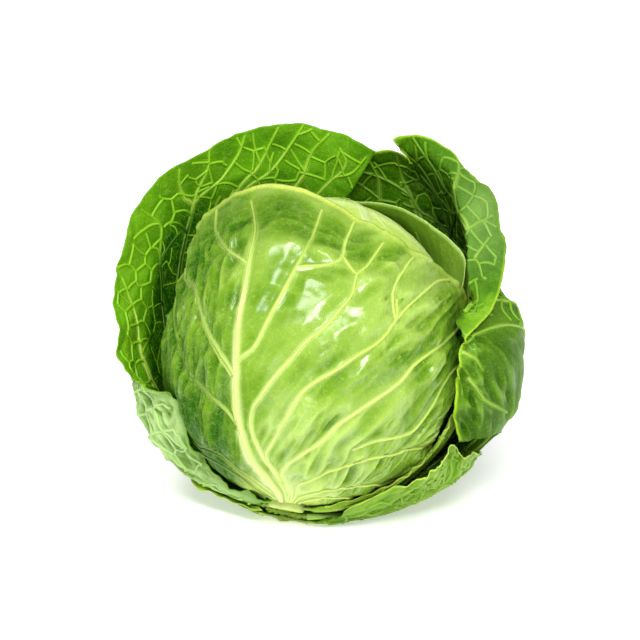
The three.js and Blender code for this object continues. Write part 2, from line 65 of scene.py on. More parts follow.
def smooth(x, low, high):
    t = np.clip((np.asarray(x, float) - low) / (high - low), 0, 1)
    return t * t * (3 - 2 * t)


def seen(points):
    # steps across and down in the front view and millimetres towards it, to right, up and near
    p = np.asarray(points, float)
    scale = head["step"] * (1 - p[..., 2] / head["distance"])
    right = (p[..., 0] - head["centre"][0]) * scale + (head["centre"][0] - head["spot"][0]) * head["step"]
    up = (head["centre"][1] - p[..., 1]) * scale + (head["spot"][1] - head["centre"][1]) * head["step"]
    return np.stack([right, up, p[..., 2]], -1)


def standing(p):
    # right, up and near, to the upright directions with the floor at zero
    tilt = math.radians(head["tilt"])
    x = p[..., 0] + head["middle"][0]
    y = p[..., 1] * math.sin(tilt) - p[..., 2] * math.cos(tilt) + head["middle"][1]
    z = p[..., 1] * math.cos(tilt) + p[..., 2] * math.sin(tilt) + head["height"]
    return np.stack([x, y, z], -1)


def layerRadius(radius, direction):
    k = direction @ stemAxis
    return radius * (1 + np.where(k < 0, head["longTop"], head["longLow"]) * k * k)


def mapAxes(facing):
    middle = unit(facing)
    up = np.array([0, 1.0, 0]) if abs(middle[1]) < 0.8 else np.array([0, 0, 1.0])
    north = unit(up - up.dot(middle) * middle)
    return middle, north, np.cross(north, middle)


def toMap(axes, direction):
    middle, north, east = axes
    d = unit(direction)
    x, y = d @ east, d @ north
    far = np.arccos(np.clip(d @ middle, -1, 1))
    flat = np.maximum(np.hypot(x, y), 1e-9)
    return np.stack([far * x / flat, far * y / flat], -1)


def fromMap(axes, q):
    middle, north, east = axes
    far = np.maximum(np.hypot(q[..., 0], q[..., 1]), 1e-9)[..., None]
    return np.cos(far) * middle + np.sin(far) / far * (q[..., :1] * east + q[..., 1:] * north)


def eased(before, a, b, after, t):
    # a point on the way from a to b, on a curve that doesn't swing past them
    step = np.linalg.norm(b - a, axis=-1, keepdims=True) / 2
    ahead = unit(b - a)
    leave = (unit(a - before) + ahead) * step
    reach = ((unit(after - b) if after is not None else ahead) + ahead) * step
    return (1 + 2 * t) * (1 - t) ** 2 * a + t * (1 - t) ** 2 * leave + t * t * (3 - 2 * t) * b + t * t * (t - 1) * reach


def netOf(leaf, netRows=9, betweenRows=2):
    # rows of points from the stem to the rim
    rows = [seen(row) for row in leaf["rows"]]
    wall = rows[0]
    axes = mapAxes(leaf["facing"])
    lean = math.asin(leaf["baseRadius"] / leaf["layer"])
    turns, places = np.array(leaf["angles"], float).T
    angle = np.radians(np.interp(np.linspace(0, 1, len(wall)), places, turns))[:, None]
    start = math.cos(lean) * stemAxis + math.sin(lean) * (np.cos(angle) * stemFront + np.sin(angle) * stemSide)
    t = np.linspace(0, 1, netRows)[:, None, None]
    direction = fromMap(axes, (1 - t) * toMap(axes, start) + t * toMap(axes, wall))
    lift = np.linalg.norm(wall, axis=-1) - layerRadius(leaf["layer"], unit(wall))
    flare = np.clip((t[..., 0] - leaf["flareFrom"]) / (1 - leaf["flareFrom"]), 0, 1) ** leaf["flarePower"]
    lower = direction * (layerRadius(leaf["layer"], direction) + lift * flare)[..., None]
    share = leaf["wallShare"] if len(rows) > 1 else 1.0
    steps = (betweenRows + 1) * (len(rows) - 1)
    heights = list(np.linspace(0, share, netRows)) + list(np.linspace(share, 1, steps + 1)[1:])
    net = [lower]
    for k in range(1, len(rows)):
        before = rows[k - 2] if k > 1 else lower[netRows - 2]
        after = rows[k + 1] if k + 1 < len(rows) else None
        for part in range(1, betweenRows + 2):
            net.append(eased(before, rows[k - 1], rows[k], after, part / (betweenRows + 1))[None])
    net = np.concatenate(net)
    net = np.concatenate([2 * net[:1] - net[1:2], net, 2 * net[-1:] - net[-2:-1]])
    net = np.concatenate([2 * net[:, :1] - net[:, 1:2], net, 2 * net[:, -1:] - net[:, -2:-1]], axis=1)
    return net, np.array(heights)


def weights(f):
    return (-f + 2 * f**2 - f**3) / 2, (2 - 5 * f**2 + 3 * f**3) / 2, (f + 4 * f**2 - 3 * f**3) / 2, (f**3 - f**2) / 2


def bare(net, u, v):
    # the middle of the blade, as curves through the net's points
    points, heights = net
    tall, wide = points.shape[0] - 2, points.shape[1] - 2
    y = np.interp(v, heights, np.arange(tall))
    x = np.clip(u, 0, 1) * (wide - 1)
    j, i = np.minimum(y.astype(int), tall - 2), np.minimum(x.astype(int), wide - 2)
    total = 0
    for b, wy in enumerate(weights(y - j)):
        for a, wx in enumerate(weights(x - i)):
            total = total + (wy * wx)[..., None] * points[j + b, i + a]
    return total


def slopes(net, u, v, du=0.004, dv=0.01):
    u0, u1, v0, v1 = np.clip(u - du, 0, 1), np.clip(u + du, 0, 1), np.clip(v - dv, 0, 1), np.clip(v + dv, 0, 1)
    across = (bare(net, u1, v) - bare(net, u0, v)) / (u1 - u0)[..., None]
    upward = (bare(net, u, v1) - bare(net, u, v0)) / (v1 - v0)[..., None]
    return across, upward


def normalAt(net, leaf, u, v):
    across, upward = slopes(net, u, v)
    return unit(np.cross(across, upward)) * leaf["turn"]

innerWrapper = {
    "name": "inner_wrapper", "facing": (50, 20, -70), "layer": 82.1, "angles": [(60, 0), (215, 1)], "baseRadius": 12.2,
    "flareFrom": 0.84, "flarePower": 1.3, "thickness": 0.9, "floor": 6.6, "turn": 1,
    "grid": (180, 70), "waves": [(6, 0.5, 0.9, 0.4)], "dents": [], "teeth": 0.004, "cell": 11, "pucker": 0.25,
    "ribs": [
        (1.2, 0.6, 0.5, [(0.28, 0.05), (0.28, 0.99)]),
        (1.3, 0.6, 0.6, [(0.5, 0.05), (0.5, 0.99)]),
        (1.2, 0.6, 0.5, [(0.72, 0.05), (0.72, 0.99)]),
    ],
    "run": 150, "pleats": (0.15, 7, 60), "hills": 0.3, "netTint": 0.12, "ribFaces": (1, -1), "netFaces": (), "netSize": 0.0, "sideSize": 0.2, "branch": 25,
    "rimWidth": 4.0, "slot": "inner_leaf",
    "looks": {"outer": (84, 138, 22), "inner": (140, 180, 60), "dark": (30, 84, 4), "vein": (186, 212, 96),
              "rim": (170, 200, 110), "web": (140, 180, 60)},
    "rows": [
        [(418, 445, 30), (440, 420, 26), (455, 385, 23), (462, 345, 18), (461, 300, 8), (466, 262, 8), (450, 240, 8),
         (430, 223, 8), (405, 210, 6), (380, 203, 0), (345, 199, -8), (318, 200, -22), (280, 220, -45), (240, 260, -58),
         (218, 320, -63), (222, 390, -62), (245, 440, -54)],
    ],
}

frontLeaf = {
    "name": "front_leaf", "facing": (-5, 0, 90), "layer": 84.4, "angles": [(-110, 0), (110, 1)], "baseRadius": 12.2,
    "flareFrom": 0.8, "flarePower": 1.3, "thickness": 1.3, "floor": 0.0, "turn": 1,
    "grid": (361, 205), "waves": [(7, 0.8, 0.8, 1.1), (3, 0.5, 0.3, 0.5)],
    "dents": [(0.575, 0.78, 0.022, 0.06, -1.4), (0.6, 0.86, 0.03, 0.06, 1.0), (0.8, 0.62, 0.03, 0.14, -1.2)],
    "teeth": 0.004, "cell": 11, "pucker": 0.2,
    "ribs": [
        (4.4, 0.9, 2.3, [(0.44, 0.0), (0.42, 0.06), (0.35, 0.18), (0.338, 0.3), (0.348, 0.4), (0.358, 0.46), (0.368, 0.57),
                         (0.377, 0.65), (0.383, 0.74), (0.386, 0.82), (0.373, 0.95)]),
        (0.9, 0.5, 0.5, [(0.378, 0.72), (0.348, 0.79), (0.328, 0.89), (0.327, 0.98)]),
        (1.3, 0.6, 0.8, [(0.362, 0.47), (0.393, 0.5), (0.412, 0.56), (0.43, 0.64), (0.443, 0.72), (0.455, 0.83),
                         (0.458, 0.95)]),
        (0.9, 0.5, 0.5, [(0.448, 0.73), (0.475, 0.77), (0.492, 0.82), (0.492, 0.88), (0.495, 0.98)]),
        (1.8, 0.7, 1.2, [(0.488, 0.0), (0.475, 0.08), (0.4, 0.2), (0.372, 0.28), (0.38, 0.34), (0.403, 0.38), (0.427, 0.43),
                         (0.452, 0.49), (0.473, 0.56), (0.493, 0.62), (0.505, 0.68), (0.515, 0.74), (0.514, 0.8),
                         (0.523, 0.85), (0.532, 0.96)]),
        (0.8, 0.5, 0.4, [(0.492, 0.83), (0.505, 0.81), (0.515, 0.8)]),
        (1.8, 0.7, 1.2, [(0.51, 0.0), (0.498, 0.08), (0.43, 0.16), (0.404, 0.21), (0.427, 0.26), (0.453, 0.33),
                         (0.477, 0.42), (0.5, 0.48), (0.528, 0.54), (0.548, 0.6), (0.565, 0.66), (0.572, 0.74),
                         (0.565, 0.8)]),
        (1.8, 0.7, 1.2, [(0.535, 0.0), (0.525, 0.06), (0.468, 0.14), (0.46, 0.18), (0.495, 0.24), (0.542, 0.32),
                         (0.563, 0.4), (0.582, 0.46), (0.605, 0.55), (0.612, 0.62), (0.628, 0.7), (0.64, 0.77),
                         (0.655, 0.9)]),
        (1.6, 0.6, 1.0, [(0.56, 0.0), (0.545, 0.08), (0.535, 0.14), (0.57, 0.19), (0.602, 0.24), (0.653, 0.32),
                         (0.705, 0.45), (0.768, 0.7), (0.818, 0.96)]),
        (1.0, 0.5, 0.6, [(0.61, 0.33), (0.667, 0.44), (0.695, 0.54), (0.69, 0.62), (0.678, 0.72), (0.69, 0.86)]),
        (1.3, 0.6, 0.8, [(0.59, 0.0), (0.585, 0.07), (0.645, 0.15), (0.708, 0.24), (0.78, 0.4), (0.85, 0.62), (0.88, 0.9)]),
        (1.1, 0.6, 0.6, [(0.64, 0.0), (0.68, 0.1), (0.76, 0.2), (0.86, 0.38), (0.93, 0.6), (0.96, 0.9)]),
        (0.8, 0.5, 0.4, [(0.571, 0.74), (0.558, 0.82), (0.562, 0.93), (0.565, 0.97)]),
        (0.8, 0.5, 0.4, [(0.569, 0.7), (0.577, 0.78), (0.593, 0.92), (0.607, 0.98)]),
        (1.3, 0.6, 0.8, [(0.352, 0.44), (0.332, 0.5), (0.307, 0.6), (0.292, 0.72), (0.285, 0.8), (0.268, 0.89),
                         (0.265, 0.97)]),
        (1.0, 0.5, 0.5, [(0.345, 0.44), (0.32, 0.52), (0.295, 0.65)]),
        (1.0, 0.5, 0.5, [(0.338, 0.3), (0.315, 0.36), (0.29, 0.42), (0.255, 0.55), (0.24, 0.72), (0.235, 0.95)]),
        (1.6, 0.6, 1.0, [(0.38, 0.0), (0.34, 0.03), (0.27, 0.15), (0.218, 0.28), (0.158, 0.42), (0.147, 0.54),
                         (0.162, 0.59), (0.193, 0.62), (0.21, 0.74), (0.212, 0.86)]),
        (1.2, 0.6, 0.8, [(0.33, 0.0), (0.247, 0.03), (0.232, 0.14), (0.163, 0.33), (0.1, 0.6), (0.063, 0.94)]),
    ],
    "run": 205, "pleats": (2.8, 5.8, 26), "hills": 0.9, "pillow": 1.2, "lip": 1.3, "rolled": [(0.42, 1.0, 0.08, 0.3, 1.0)], "rimFade": 0.72, "paintedFoldShadeStrength": 0.26, "lean": 1.0, "covered": 0.88, "netTint": 0.1,
    "crumples": [(0.24, 0.62, 0.08, 0.25, 0.9), (0.36, 0.88, 0.08, 0.08, 0.6)], "coat": 0.7, "ribSize": 0.3, "paleFrom": 0.22, "ribFaces": (1,), "netFaces": (1,), "netSize": 0.0, "sideSize": 0.2, "branch": 0, "gloss": 0.27, "streaks": 0.35,
    # the spots paint shade: the left side, shaded by the back-left leaf, the right edge, in the right leaf's shadow,
    # and bands under the rolled top rim and at the lower right are darker; the positive spots make the base and the
    # middle lighter
    "halo": 0.3, "spots": [(0.19, 0.5, 0.125, 0.5, -1.15), (0.33, 0.86, 0.07, 0.1, -0.45), (0.5, 0.1, 0.2, 0.1, 0.3), (0.5, 0.62, 0.12, 0.18, 0.12), (0.66, 0.8, 0.05, 0.14, -0.7), (0.78, 0.88, 0.1, 0.08, -0.4), (0.44, 0.82, 0.05, 0.08, -0.35)], "innerStep": 2,
    "rimWidth": 5.0, "slot": "pale_leaf",
    "looks": {"outer": (114, 156, 34), "inner": (140, 180, 50), "dark": (42, 98, 0), "vein": (214, 234, 140),
              "light": (176, 206, 96), "pale": (206, 226, 116), "web": (186, 214, 90), "rim": (212, 228, 100)},
    "rows": [
        [(258, 496, 2), (222, 473, -3), (194, 444, -5), (175, 408, -15), (166, 380, -14), (165, 340, -12), (172, 305, 0),
         (180, 278, 8), (195, 240, 12), (213, 209, 8), (240, 193, 8), (270, 189, 14), (300, 195, 22), (330, 204, 33),
         (360, 219, 42), (390, 235, 44), (420, 256, 38), (450, 277, 18), (466, 298, 10), (466, 330, 8), (464, 365, 16),
         (452, 395, 30), (442, 422, 26), (432, 443, 22), (418, 462, 16), (404, 476, 10), (376, 493, 2), (345, 502, 4),
         (318, 506, 3)],
    ],
}

backLeaf = {
    "name": "back_leaf", "facing": (0, 20, -90), "layer": 86.1, "angles": [(110, 0), (250, 1)], "baseRadius": 12.4,
    "flareFrom": 0.45, "flarePower": 1.6, "thickness": 1.0, "floor": 5.2, "turn": 1,
    "grid": (150, 60), "waves": [(6, 1.4, 0.75, 0.9), (11, 0.6, 0.85, 0.2)], "dents": [], "teeth": 0.012, "cell": 12,
    "pucker": 0.5,
    "ribs": [
        (1.2, 0.6, 0.5, [(0.16, 0.05), (0.16, 0.99)]),
        (1.3, 0.6, 0.6, [(0.33, 0.05), (0.33, 0.99)]),
        (1.6, 0.7, 0.7, [(0.5, 0.05), (0.5, 0.99)]),
        (1.3, 0.6, 0.6, [(0.67, 0.05), (0.67, 0.99)]),
        (1.2, 0.6, 0.5, [(0.84, 0.05), (0.84, 0.99)]),
    ],
    "run": 150, "pleats": (0.3, 9, 40), "hills": 0.8, "netTint": 0.12, "ribFaces": (1, -1), "netFaces": (1,), "netSize": 0.12, "sideSize": 0.22, "branch": 22,
    "rimWidth": 1.5, "slot": "green_leaf",
    "looks": {"outer": (70, 116, 16), "inner": (48, 102, 2), "dark": (20, 56, 0), "vein": (160, 198, 70),
              "web": (104, 152, 30), "rim": (118, 166, 34)},
    "rows": [
        [(440, 400, -50), (452, 350, -52), (448, 300, -52), (436, 262, -54), (420, 236, -56),
         (400, 216, -56), (376, 205, -58), (350, 199, -60), (322, 197, -62), (290, 201, -64),
         (262, 213, -66), (238, 232, -68), (218, 265, -68), (204, 305, -66), (200, 350, -62),
         (208, 395, -56)],
    ],
}

lowerRightLeaf = {
    "name": "lower_right_leaf", "facing": (60, -60, 20), "layer": 87.2, "angles": [(52, 0), (125, 1)], "baseRadius": 12.4,
    "flareFrom": 0.5, "flarePower": 1.5, "thickness": 1.0, "floor": 5.2, "turn": 1,
    "grid": (180, 70), "waves": [(15, 0.7, 0.75, 0.0)], "dents": [], "teeth": 0.014, "cell": 11, "pucker": 0.5,
    "ribs": [
        (1.4, 0.6, 0.6, [(0.3, 0.05), (0.3, 0.99)]),
        (1.5, 0.6, 0.7, [(0.55, 0.05), (0.55, 0.99)]),
        (1.3, 0.6, 0.5, [(0.8, 0.05), (0.8, 0.99)]),
    ],
    "run": 120, "pleats": (0.3, 8, 40), "hills": 0.6, "netTint": 0.12, "ribFaces": (1, -1), "netFaces": (1, -1), "netSize": 0.14, "sideSize": 0.22, "branch": 22,
    "rimWidth": 1.5, "slot": "green_leaf",
    "looks": {"outer": (128, 178, 30), "inner": (110, 164, 22), "dark": (40, 90, 2), "vein": (180, 210, 90),
              "web": (146, 186, 60), "pale": (196, 218, 120), "rim": (200, 220, 90)},
    "rows": [
        [(326, 506, 24), (352, 500, 24), (374, 492, 26), (396, 482, 27), (414, 470, 27), (430, 455, 27),
         (440, 440, 28), (448, 426, 28), (456, 410, 24), (466, 392, 8), (470, 382, -6), (466, 396, -18),
         (456, 415, -26), (444, 432, -32)],
    ],
}

backLeftLeaf = {
    "name": "back_left_leaf", "facing": (-60, 10, -70), "layer": 88.5, "angles": [(280, 0), (248, 0.08), (228, 0.19), (148, 1)], "baseRadius": 12.6,
    "flareFrom": 0.25, "flarePower": 1.5, "wallShare": 0.68, "thickness": 1.2, "floor": 3.4, "turn": -1,
    "grid": (300, 140), "waves": [(9, 1.6, 0.7, 0.3), (17, 0.7, 0.85, 1.4), (41, 0.35, 0.92, 0.4)], "dents": [], "teeth": 0.012, "cell": 13,
    "pucker": 0.8,
    "ribs": [
        (3.0, 0.9, 2.2, [(0.5, 0.0), (0.49, 0.2), (0.47, 0.4), (0.455, 0.62), (0.472, 0.7), (0.508, 0.78), (0.545, 0.86),
                         (0.575, 0.95)]),
        (1.6, 0.7, 1.1, [(0.2, 0.0), (0.2, 0.3), (0.18, 0.6), (0.15, 0.9)]),
        (1.8, 0.7, 1.2, [(0.34, 0.0), (0.33, 0.3), (0.3, 0.6), (0.27, 0.9)]),
        (1.6, 0.6, 1.0, [(0.43, 0.0), (0.41, 0.3), (0.385, 0.6), (0.37, 0.8), (0.38, 0.98)]),
        (1.6, 0.6, 1.0, [(0.56, 0.0), (0.575, 0.25), (0.63, 0.5), (0.638, 0.6), (0.625, 0.67), (0.662, 0.77), (0.67, 0.95)]),
        (1.6, 0.6, 1.0, [(0.6, 0.0), (0.64, 0.3), (0.7, 0.5), (0.717, 0.66), (0.735, 0.76), (0.763, 0.88), (0.775, 0.99)]),
        (0.9, 0.5, 0.5, [(0.718, 0.72), (0.717, 0.79), (0.723, 0.87), (0.735, 0.97)]),
        (1.0, 0.5, 0.6, [(0.722, 0.7), (0.763, 0.75), (0.787, 0.81), (0.808, 0.88), (0.82, 0.97)]),
        (1.4, 0.6, 0.9, [(0.66, 0.0), (0.7, 0.3), (0.77, 0.55), (0.8, 0.67), (0.825, 0.75), (0.842, 0.85), (0.858, 0.98)]),
        (1.1, 0.5, 0.6, [(0.79, 0.62), (0.815, 0.67), (0.842, 0.71), (0.863, 0.81), (0.88, 0.91), (0.892, 0.99)]),
        (1.3, 0.6, 0.8, [(0.74, 0.0), (0.8, 0.3), (0.88, 0.58), (0.898, 0.68), (0.902, 0.76), (0.91, 0.86), (0.932, 0.98)]),
        (1.2, 0.5, 0.7, [(0.82, 0.0), (0.87, 0.3), (0.935, 0.6), (0.95, 0.68), (0.962, 0.75), (0.985, 0.82), (0.993, 0.94)]),
        (0.8, 0.4, 0.4, [(0.962, 0.75), (0.97, 0.82), (0.968, 0.87), (0.952, 0.92)]),
        (1.2, 0.5, 0.7, [(0.08, 0.0), (0.08, 0.4), (0.06, 0.8)]),
    ],
    # on the inner face the spots paint shade along the front leaf's edge, deepest in the gap at the left, and make the
    # upper part near the rim lighter
    "run": 210, "pleats": (0.3, 11, 40), "hills": 1.0, "paintedFoldShadeStrength": 0.22, "netTint": 0.1, "ribFaces": (1, -1), "netFaces": (1, -1), "netSize": 0.13, "ribSize": 0.42, "sideSize": 0.2, "branch": 26, "halo": 0.15, "spots": [(0.56, 0.92, 0.16, 0.16, 0.4, -1), (0.38, 0.92, 0.1, 0.16, 0.4, -1), (0.63, 0.52, 0.15, 0.14, -1.8, -1), (0.78, 0.6, 0.3, 0.08, -0.7, -1), (0.5, 0.5, 0.06, 0.1, -1.0, -1)], "pales": [(0.3, 0.8, 0.12, 0.4, 0.85, 1), (0.12, 0.9, 0.12, 0.3, 0.6, 1)],
    "crumples": [(0.28, 0.82, 0.12, 0.25, 1.9)],
    "rimWidth": 1.2, "slot": "green_leaf",
    "looks": {"outer": (84, 132, 30), "inner": (90, 156, 12), "dark": (22, 78, 0), "vein": (204, 238, 96),
              "light": (136, 194, 36), "web": (134, 194, 30), "pale": (176, 208, 132), "rim": (106, 168, 12)},
    "rows": [
        [(262, 502, 13), (256, 503, 8), (246, 502, 3), (232, 495, -3), (214, 488, -6), (194, 478, -10), (175, 464, -8),
         (158, 448, -6), (146, 428, -8), (139, 408, -12), (137, 392, -18), (138, 372, -25), (140, 350, -32),
         (143, 330, -38), (146, 308, -43), (152, 285, -48), (158, 262, -52), (166, 240, -56), (180, 222, -60),
         (198, 206, -64), (220, 194, -67), (243, 186, -69), (268, 181, -71), (292, 181, -73), (312, 184, -74),
         (330, 189, -74), (348, 196, -74)],
        [(272, 497, 24), (262, 499, 21), (250, 496, 20), (235, 489, 16), (222, 480, 12), (205, 466, 8), (194, 446, 16),
         (186, 422, 27), (177, 404, 31), (161, 389, 24), (143, 385, 10), (131, 378, 0), (121, 360, -5), (118, 332, -10),
         (113, 305, -15), (118, 275, -20), (121, 248, -28), (128, 218, -34), (148, 190, -40), (172, 166, -45),
         (205, 151, -51), (235, 135, -55), (268, 124, -58), (300, 121, -60), (325, 129, -60), (350, 136, -60),
         (376, 151, -60)],
    ],
}

rightLeaf = {
    "name": "right_leaf", "facing": (70, 0, -55), "layer": 90.8, "angles": [(238, 0), (66, 1)], "baseRadius": 13.0,
    "flareFrom": 0.32, "flarePower": 1.4, "wallShare": 0.62, "thickness": 1.2, "floor": 1.6, "turn": -1,
    "grid": (290, 140), "waves": [(13, 0.8, 0.85, 0.6)],
    "dents": [(0.6, 0.9, 0.02, 0.08, 1.2), (0.7, 0.88, 0.035, 0.06, 3.0), (0.86, 0.75, 0.03, 0.12, 2.0), (0.95, 0.72, 0.03, 0.12, 2.4)],
    "teeth": 0.01, "cell": 13, "pucker": 1.3,
    "ribs": [
        (3.0, 0.9, 2.2, [(0.5, 0.0), (0.49, 0.2), (0.46, 0.45), (0.443, 0.63), (0.437, 0.76), (0.44, 0.9), (0.43, 0.98)]),
        (1.6, 0.7, 1.1, [(0.1, 0.0), (0.1, 0.4), (0.08, 0.9)]),
        (1.6, 0.7, 1.1, [(0.2, 0.0), (0.2, 0.35), (0.15, 0.7), (0.12, 0.96)]),
        (1.7, 0.7, 1.1, [(0.3, 0.0), (0.31, 0.3), (0.27, 0.55), (0.22, 0.74), (0.19, 0.84), (0.18, 0.97)]),
        (1.7, 0.7, 1.1, [(0.4, 0.0), (0.4, 0.3), (0.375, 0.5), (0.345, 0.7), (0.31, 0.8), (0.285, 0.96)]),
        (1.1, 0.5, 0.6, [(0.528, 0.84), (0.502, 0.82), (0.437, 0.76), (0.405, 0.76), (0.367, 0.78), (0.345, 0.86),
                         (0.342, 0.98)]),
        (1.0, 0.5, 0.6, [(0.522, 0.82), (0.4, 0.72), (0.347, 0.735), (0.283, 0.75), (0.24, 0.78), (0.195, 0.88)]),
        (1.0, 0.5, 0.6, [(0.443, 0.63), (0.363, 0.64), (0.283, 0.66), (0.245, 0.68), (0.218, 0.74), (0.19, 0.78),
                         (0.147, 0.82), (0.093, 0.88)]),
        (0.9, 0.5, 0.5, [(0.525, 0.84), (0.528, 0.89), (0.53, 0.96)]),
        (0.8, 0.4, 0.4, [(0.59, 0.87), (0.562, 0.93)]),
        (1.6, 0.6, 1.0, [(0.57, 0.0), (0.56, 0.3), (0.545, 0.6), (0.53, 0.8)]),
        (1.6, 0.6, 1.0, [(0.66, 0.0), (0.66, 0.3), (0.66, 0.5), (0.703, 0.7), (0.72, 0.84), (0.71, 0.97)]),
        (1.5, 0.6, 1.0, [(0.76, 0.0), (0.76, 0.35), (0.783, 0.6), (0.79, 0.8), (0.8, 0.97)]),
        (1.4, 0.6, 0.9, [(0.87, 0.0), (0.87, 0.4), (0.878, 0.62)]),
        (1.2, 0.5, 0.7, [(0.95, 0.0), (0.95, 0.5), (0.94, 0.58)]),
        (1.2, 0.9, 2.2, [(0.83, 0.97), (0.85, 0.9), (0.877, 0.83)]),
        (1.2, 0.9, 2.2, [(0.89, 0.92), (0.925, 0.82), (0.955, 0.72)]),
    ],
    # the spots paint shade in the cavity on the inner face and make the puffy outer face a little darker; the positive
    # spot paints light in the spoon; the pales paint a pale sheen on the turned-out strip
    "run": 200, "pleats": (0.3, 10, 36), "hills": 0.9, "netTint": 0.08, "ribFaces": (1, -1), "netFaces": (1, -1), "netSize": 0.12, "ribSize": 0.42, "sideSize": 0.18, "branch": 26, "halo": 0.15, "spots": [(0.34, 0.66, 0.18, 0.2, -1.0, -1), (0.92, 0.88, 0.1, 0.14, -0.3, 1), (0.715, 0.94, 0.04, 0.08, 0.7, -1)], "plain": [(0.93, 0.88, 0.09, 0.26, 1.4), (0.84, 0.74, 0.07, 0.2, 1.2)], "pales": [(0.53, 0.95, 0.1, 0.16, 0.4, -1)], "paintedFoldShadeStrength": 0.24,
    "crumples": [(0.92, 0.86, 0.1, 0.24, 2.0), (0.7, 0.92, 0.06, 0.08, 0.5)],
    "rimWidth": 2.0, "slot": "green_leaf",
    "looks": {"outer": (72, 114, 16), "inner": (66, 122, 2), "dark": (20, 64, 0), "vein": (170, 208, 84),
              "light": (136, 190, 30), "web": (112, 164, 34), "pale": (160, 194, 112), "rim": (156, 200, 44)},
    "rows": [
        [(296, 240, -96), (322, 230, -97), (350, 226, -97), (376, 224, -95), (402, 226, -90),
         (424, 231, -84), (438, 236, -80), (450, 245, -72), (460, 255, -62), (470, 262, -52),
         (480, 272, -42), (490, 285, -32), (500, 295, -22), (510, 303, -16), (517, 312, -12),
         (521, 325, -8), (523, 340, -5), (521, 365, -3), (519, 392, -3), (512, 410, -5), (497, 434, -7)],
        [(310, 195, -90), (334, 186, -88), (360, 180, -86), (385, 181, -83), (405, 182, -78),
         (416, 172, -68), (422, 170, -60), (435, 172, -48), (449, 178, -32), (455, 195, -18),
         (464, 222, -6), (468, 245, 2), (468, 268, 10), (469, 288, 20), (471, 301, 34), (457, 320, 46),
         (478, 338, 42), (484, 354, 40), (484, 384, 36), (484, 412, 28), (482, 438, 16)],
        [(316, 172, -80), (338, 162, -76), (358, 156, -73), (380, 150, -70), (406, 154, -64),
         (410, 162, -56), (392, 138, -50), (415, 134, -46), (445, 145, -42), (468, 170, -38),
         (492, 190, -31), (503, 225, -20), (506, 250, -10), (504, 280, 10), (494, 308, 30), (468, 337, 48),
         (461, 344, 46), (457, 362, 46), (455, 385, 42), (453, 414, 38), (458, 441, 26)],
    ],
}

underLeaf = {
    "name": "under_leaf", "facing": (10, -60, -60), "layer": 93.9, "angles": [(262, 0), (100, 1)], "baseRadius": 13.4,
    "flareFrom": 0.25, "flarePower": 1.3, "wallShare": 0.74, "thickness": 1.2, "floor": 0.0, "turn": -1,
    "grid": (220, 80), "waves": [(8, 1.2, 0.75, 0.2), (13, 0.9, 0.86, 0.9), (31, 0.6, 0.9, 0.2)], "dents": [], "crumples": [(0.86, 0.85, 0.14, 0.3, 1.6)], "teeth": 0.02, "cell": 12,
    "pucker": 0.6,
    "ribs": [
        (1.5, 0.6, 0.9, [(0.22, 0.03), (0.2, 0.5), (0.16, 0.97)]),
        (1.6, 0.6, 1.0, [(0.36, 0.03), (0.34, 0.5), (0.31, 0.97)]),
        (2.8, 0.9, 2.0, [(0.5, 0.0), (0.49, 0.5), (0.5, 0.97)]),
        (1.6, 0.6, 1.0, [(0.64, 0.03), (0.66, 0.5), (0.69, 0.97)]),
        (1.5, 0.6, 0.9, [(0.78, 0.03), (0.81, 0.5), (0.86, 0.97)]),
    ],
    "run": 120, "pleats": (0.3, 9, 40), "hills": 0.7, "paintedFoldShadeStrength": 0.2, "netTint": 0.12, "ribFaces": (1, -1), "netFaces": (1, -1), "netSize": 0.13, "sideSize": 0.22, "branch": 22,
    "rimWidth": 1.5, "slot": "green_leaf",
    "looks": {"outer": (112, 160, 28), "inner": (110, 164, 24), "dark": (40, 84, 4), "vein": (178, 208, 96),
              "web": (128, 174, 46), "pale": (196, 218, 120), "rim": (186, 214, 84)},
    "rows": [
        [(258, 506, 9), (252, 505, 5), (236, 500, -3), (220, 493, -8), (206, 480, -14), (199, 464, -27),
         (198, 446, -42), (208, 431, -58), (226, 421, -71), (250, 414, -81), (279, 409, -89),
         (310, 407, -92), (344, 410, -92), (379, 416, -86), (408, 422, -76), (431, 427, -62),
         (448, 431, -48), (460, 446, -38), (467, 457, -25), (468, 463, -12), (465, 469, -4), (459, 475, 0),
         (448, 483, 3), (434, 488, 6), (416, 495, 9), (394, 504, 12), (368, 511, 14), (338, 517, 14)],
        [(260, 508, 12), (252, 509, 8), (232, 503, 2), (213, 495, -6), (195, 486, -12), (188, 464, -24),
         (187, 434, -45), (199, 414, -66), (219, 401, -82), (248, 391, -92), (279, 385, -98),
         (310, 383, -102), (346, 386, -102), (380, 391, -95), (413, 399, -86), (438, 406, -72),
         (456, 418, -57), (471, 436, -43), (480, 448, -27), (481, 453, -5), (474, 454, 13), (464, 452, 27),
         (454, 445, 32), (446, 456, 35), (434, 468, 36), (415, 479, 35), (388, 493, 31), (344, 510, 23)],
    ],
}

leaves = [innerWrapper, frontLeaf, backLeaf, lowerRightLeaf, backLeftLeaf, rightLeaf, underLeaf]


stage = {"floor": 14.0, "tint": (252, 252, 252), "world": 0.3, "glow": 0.42, "tintShare": 0.82,
         "sun": {"from": (-0.24, -0.5, 0.84), "power": 2.35, "angle": 22},
         "boxes": (("front", (0.2, -1.15, 1.05), (0.5, 0.5), 20.0), ("left", (-1.25, 0.2, 0.2), (0.12, 0.7), 2.0))}


def colour(rgb):
    # everyday 0 to 255 colour to linear light
    c = np.asarray(rgb, float) / 255
    return (*np.where(c <= 0.04045, c / 12.92, ((c + 0.055) / 1.055) ** 2.4).tolist(), 1.0)


def leafColour(rgb):
    # as seen in the studio's bright light, so darker on the leaf itself
    return (*(stage["tintShare"] * x for x in colour(rgb)[:3]), 1.0)


# ---- shader maths as expressions

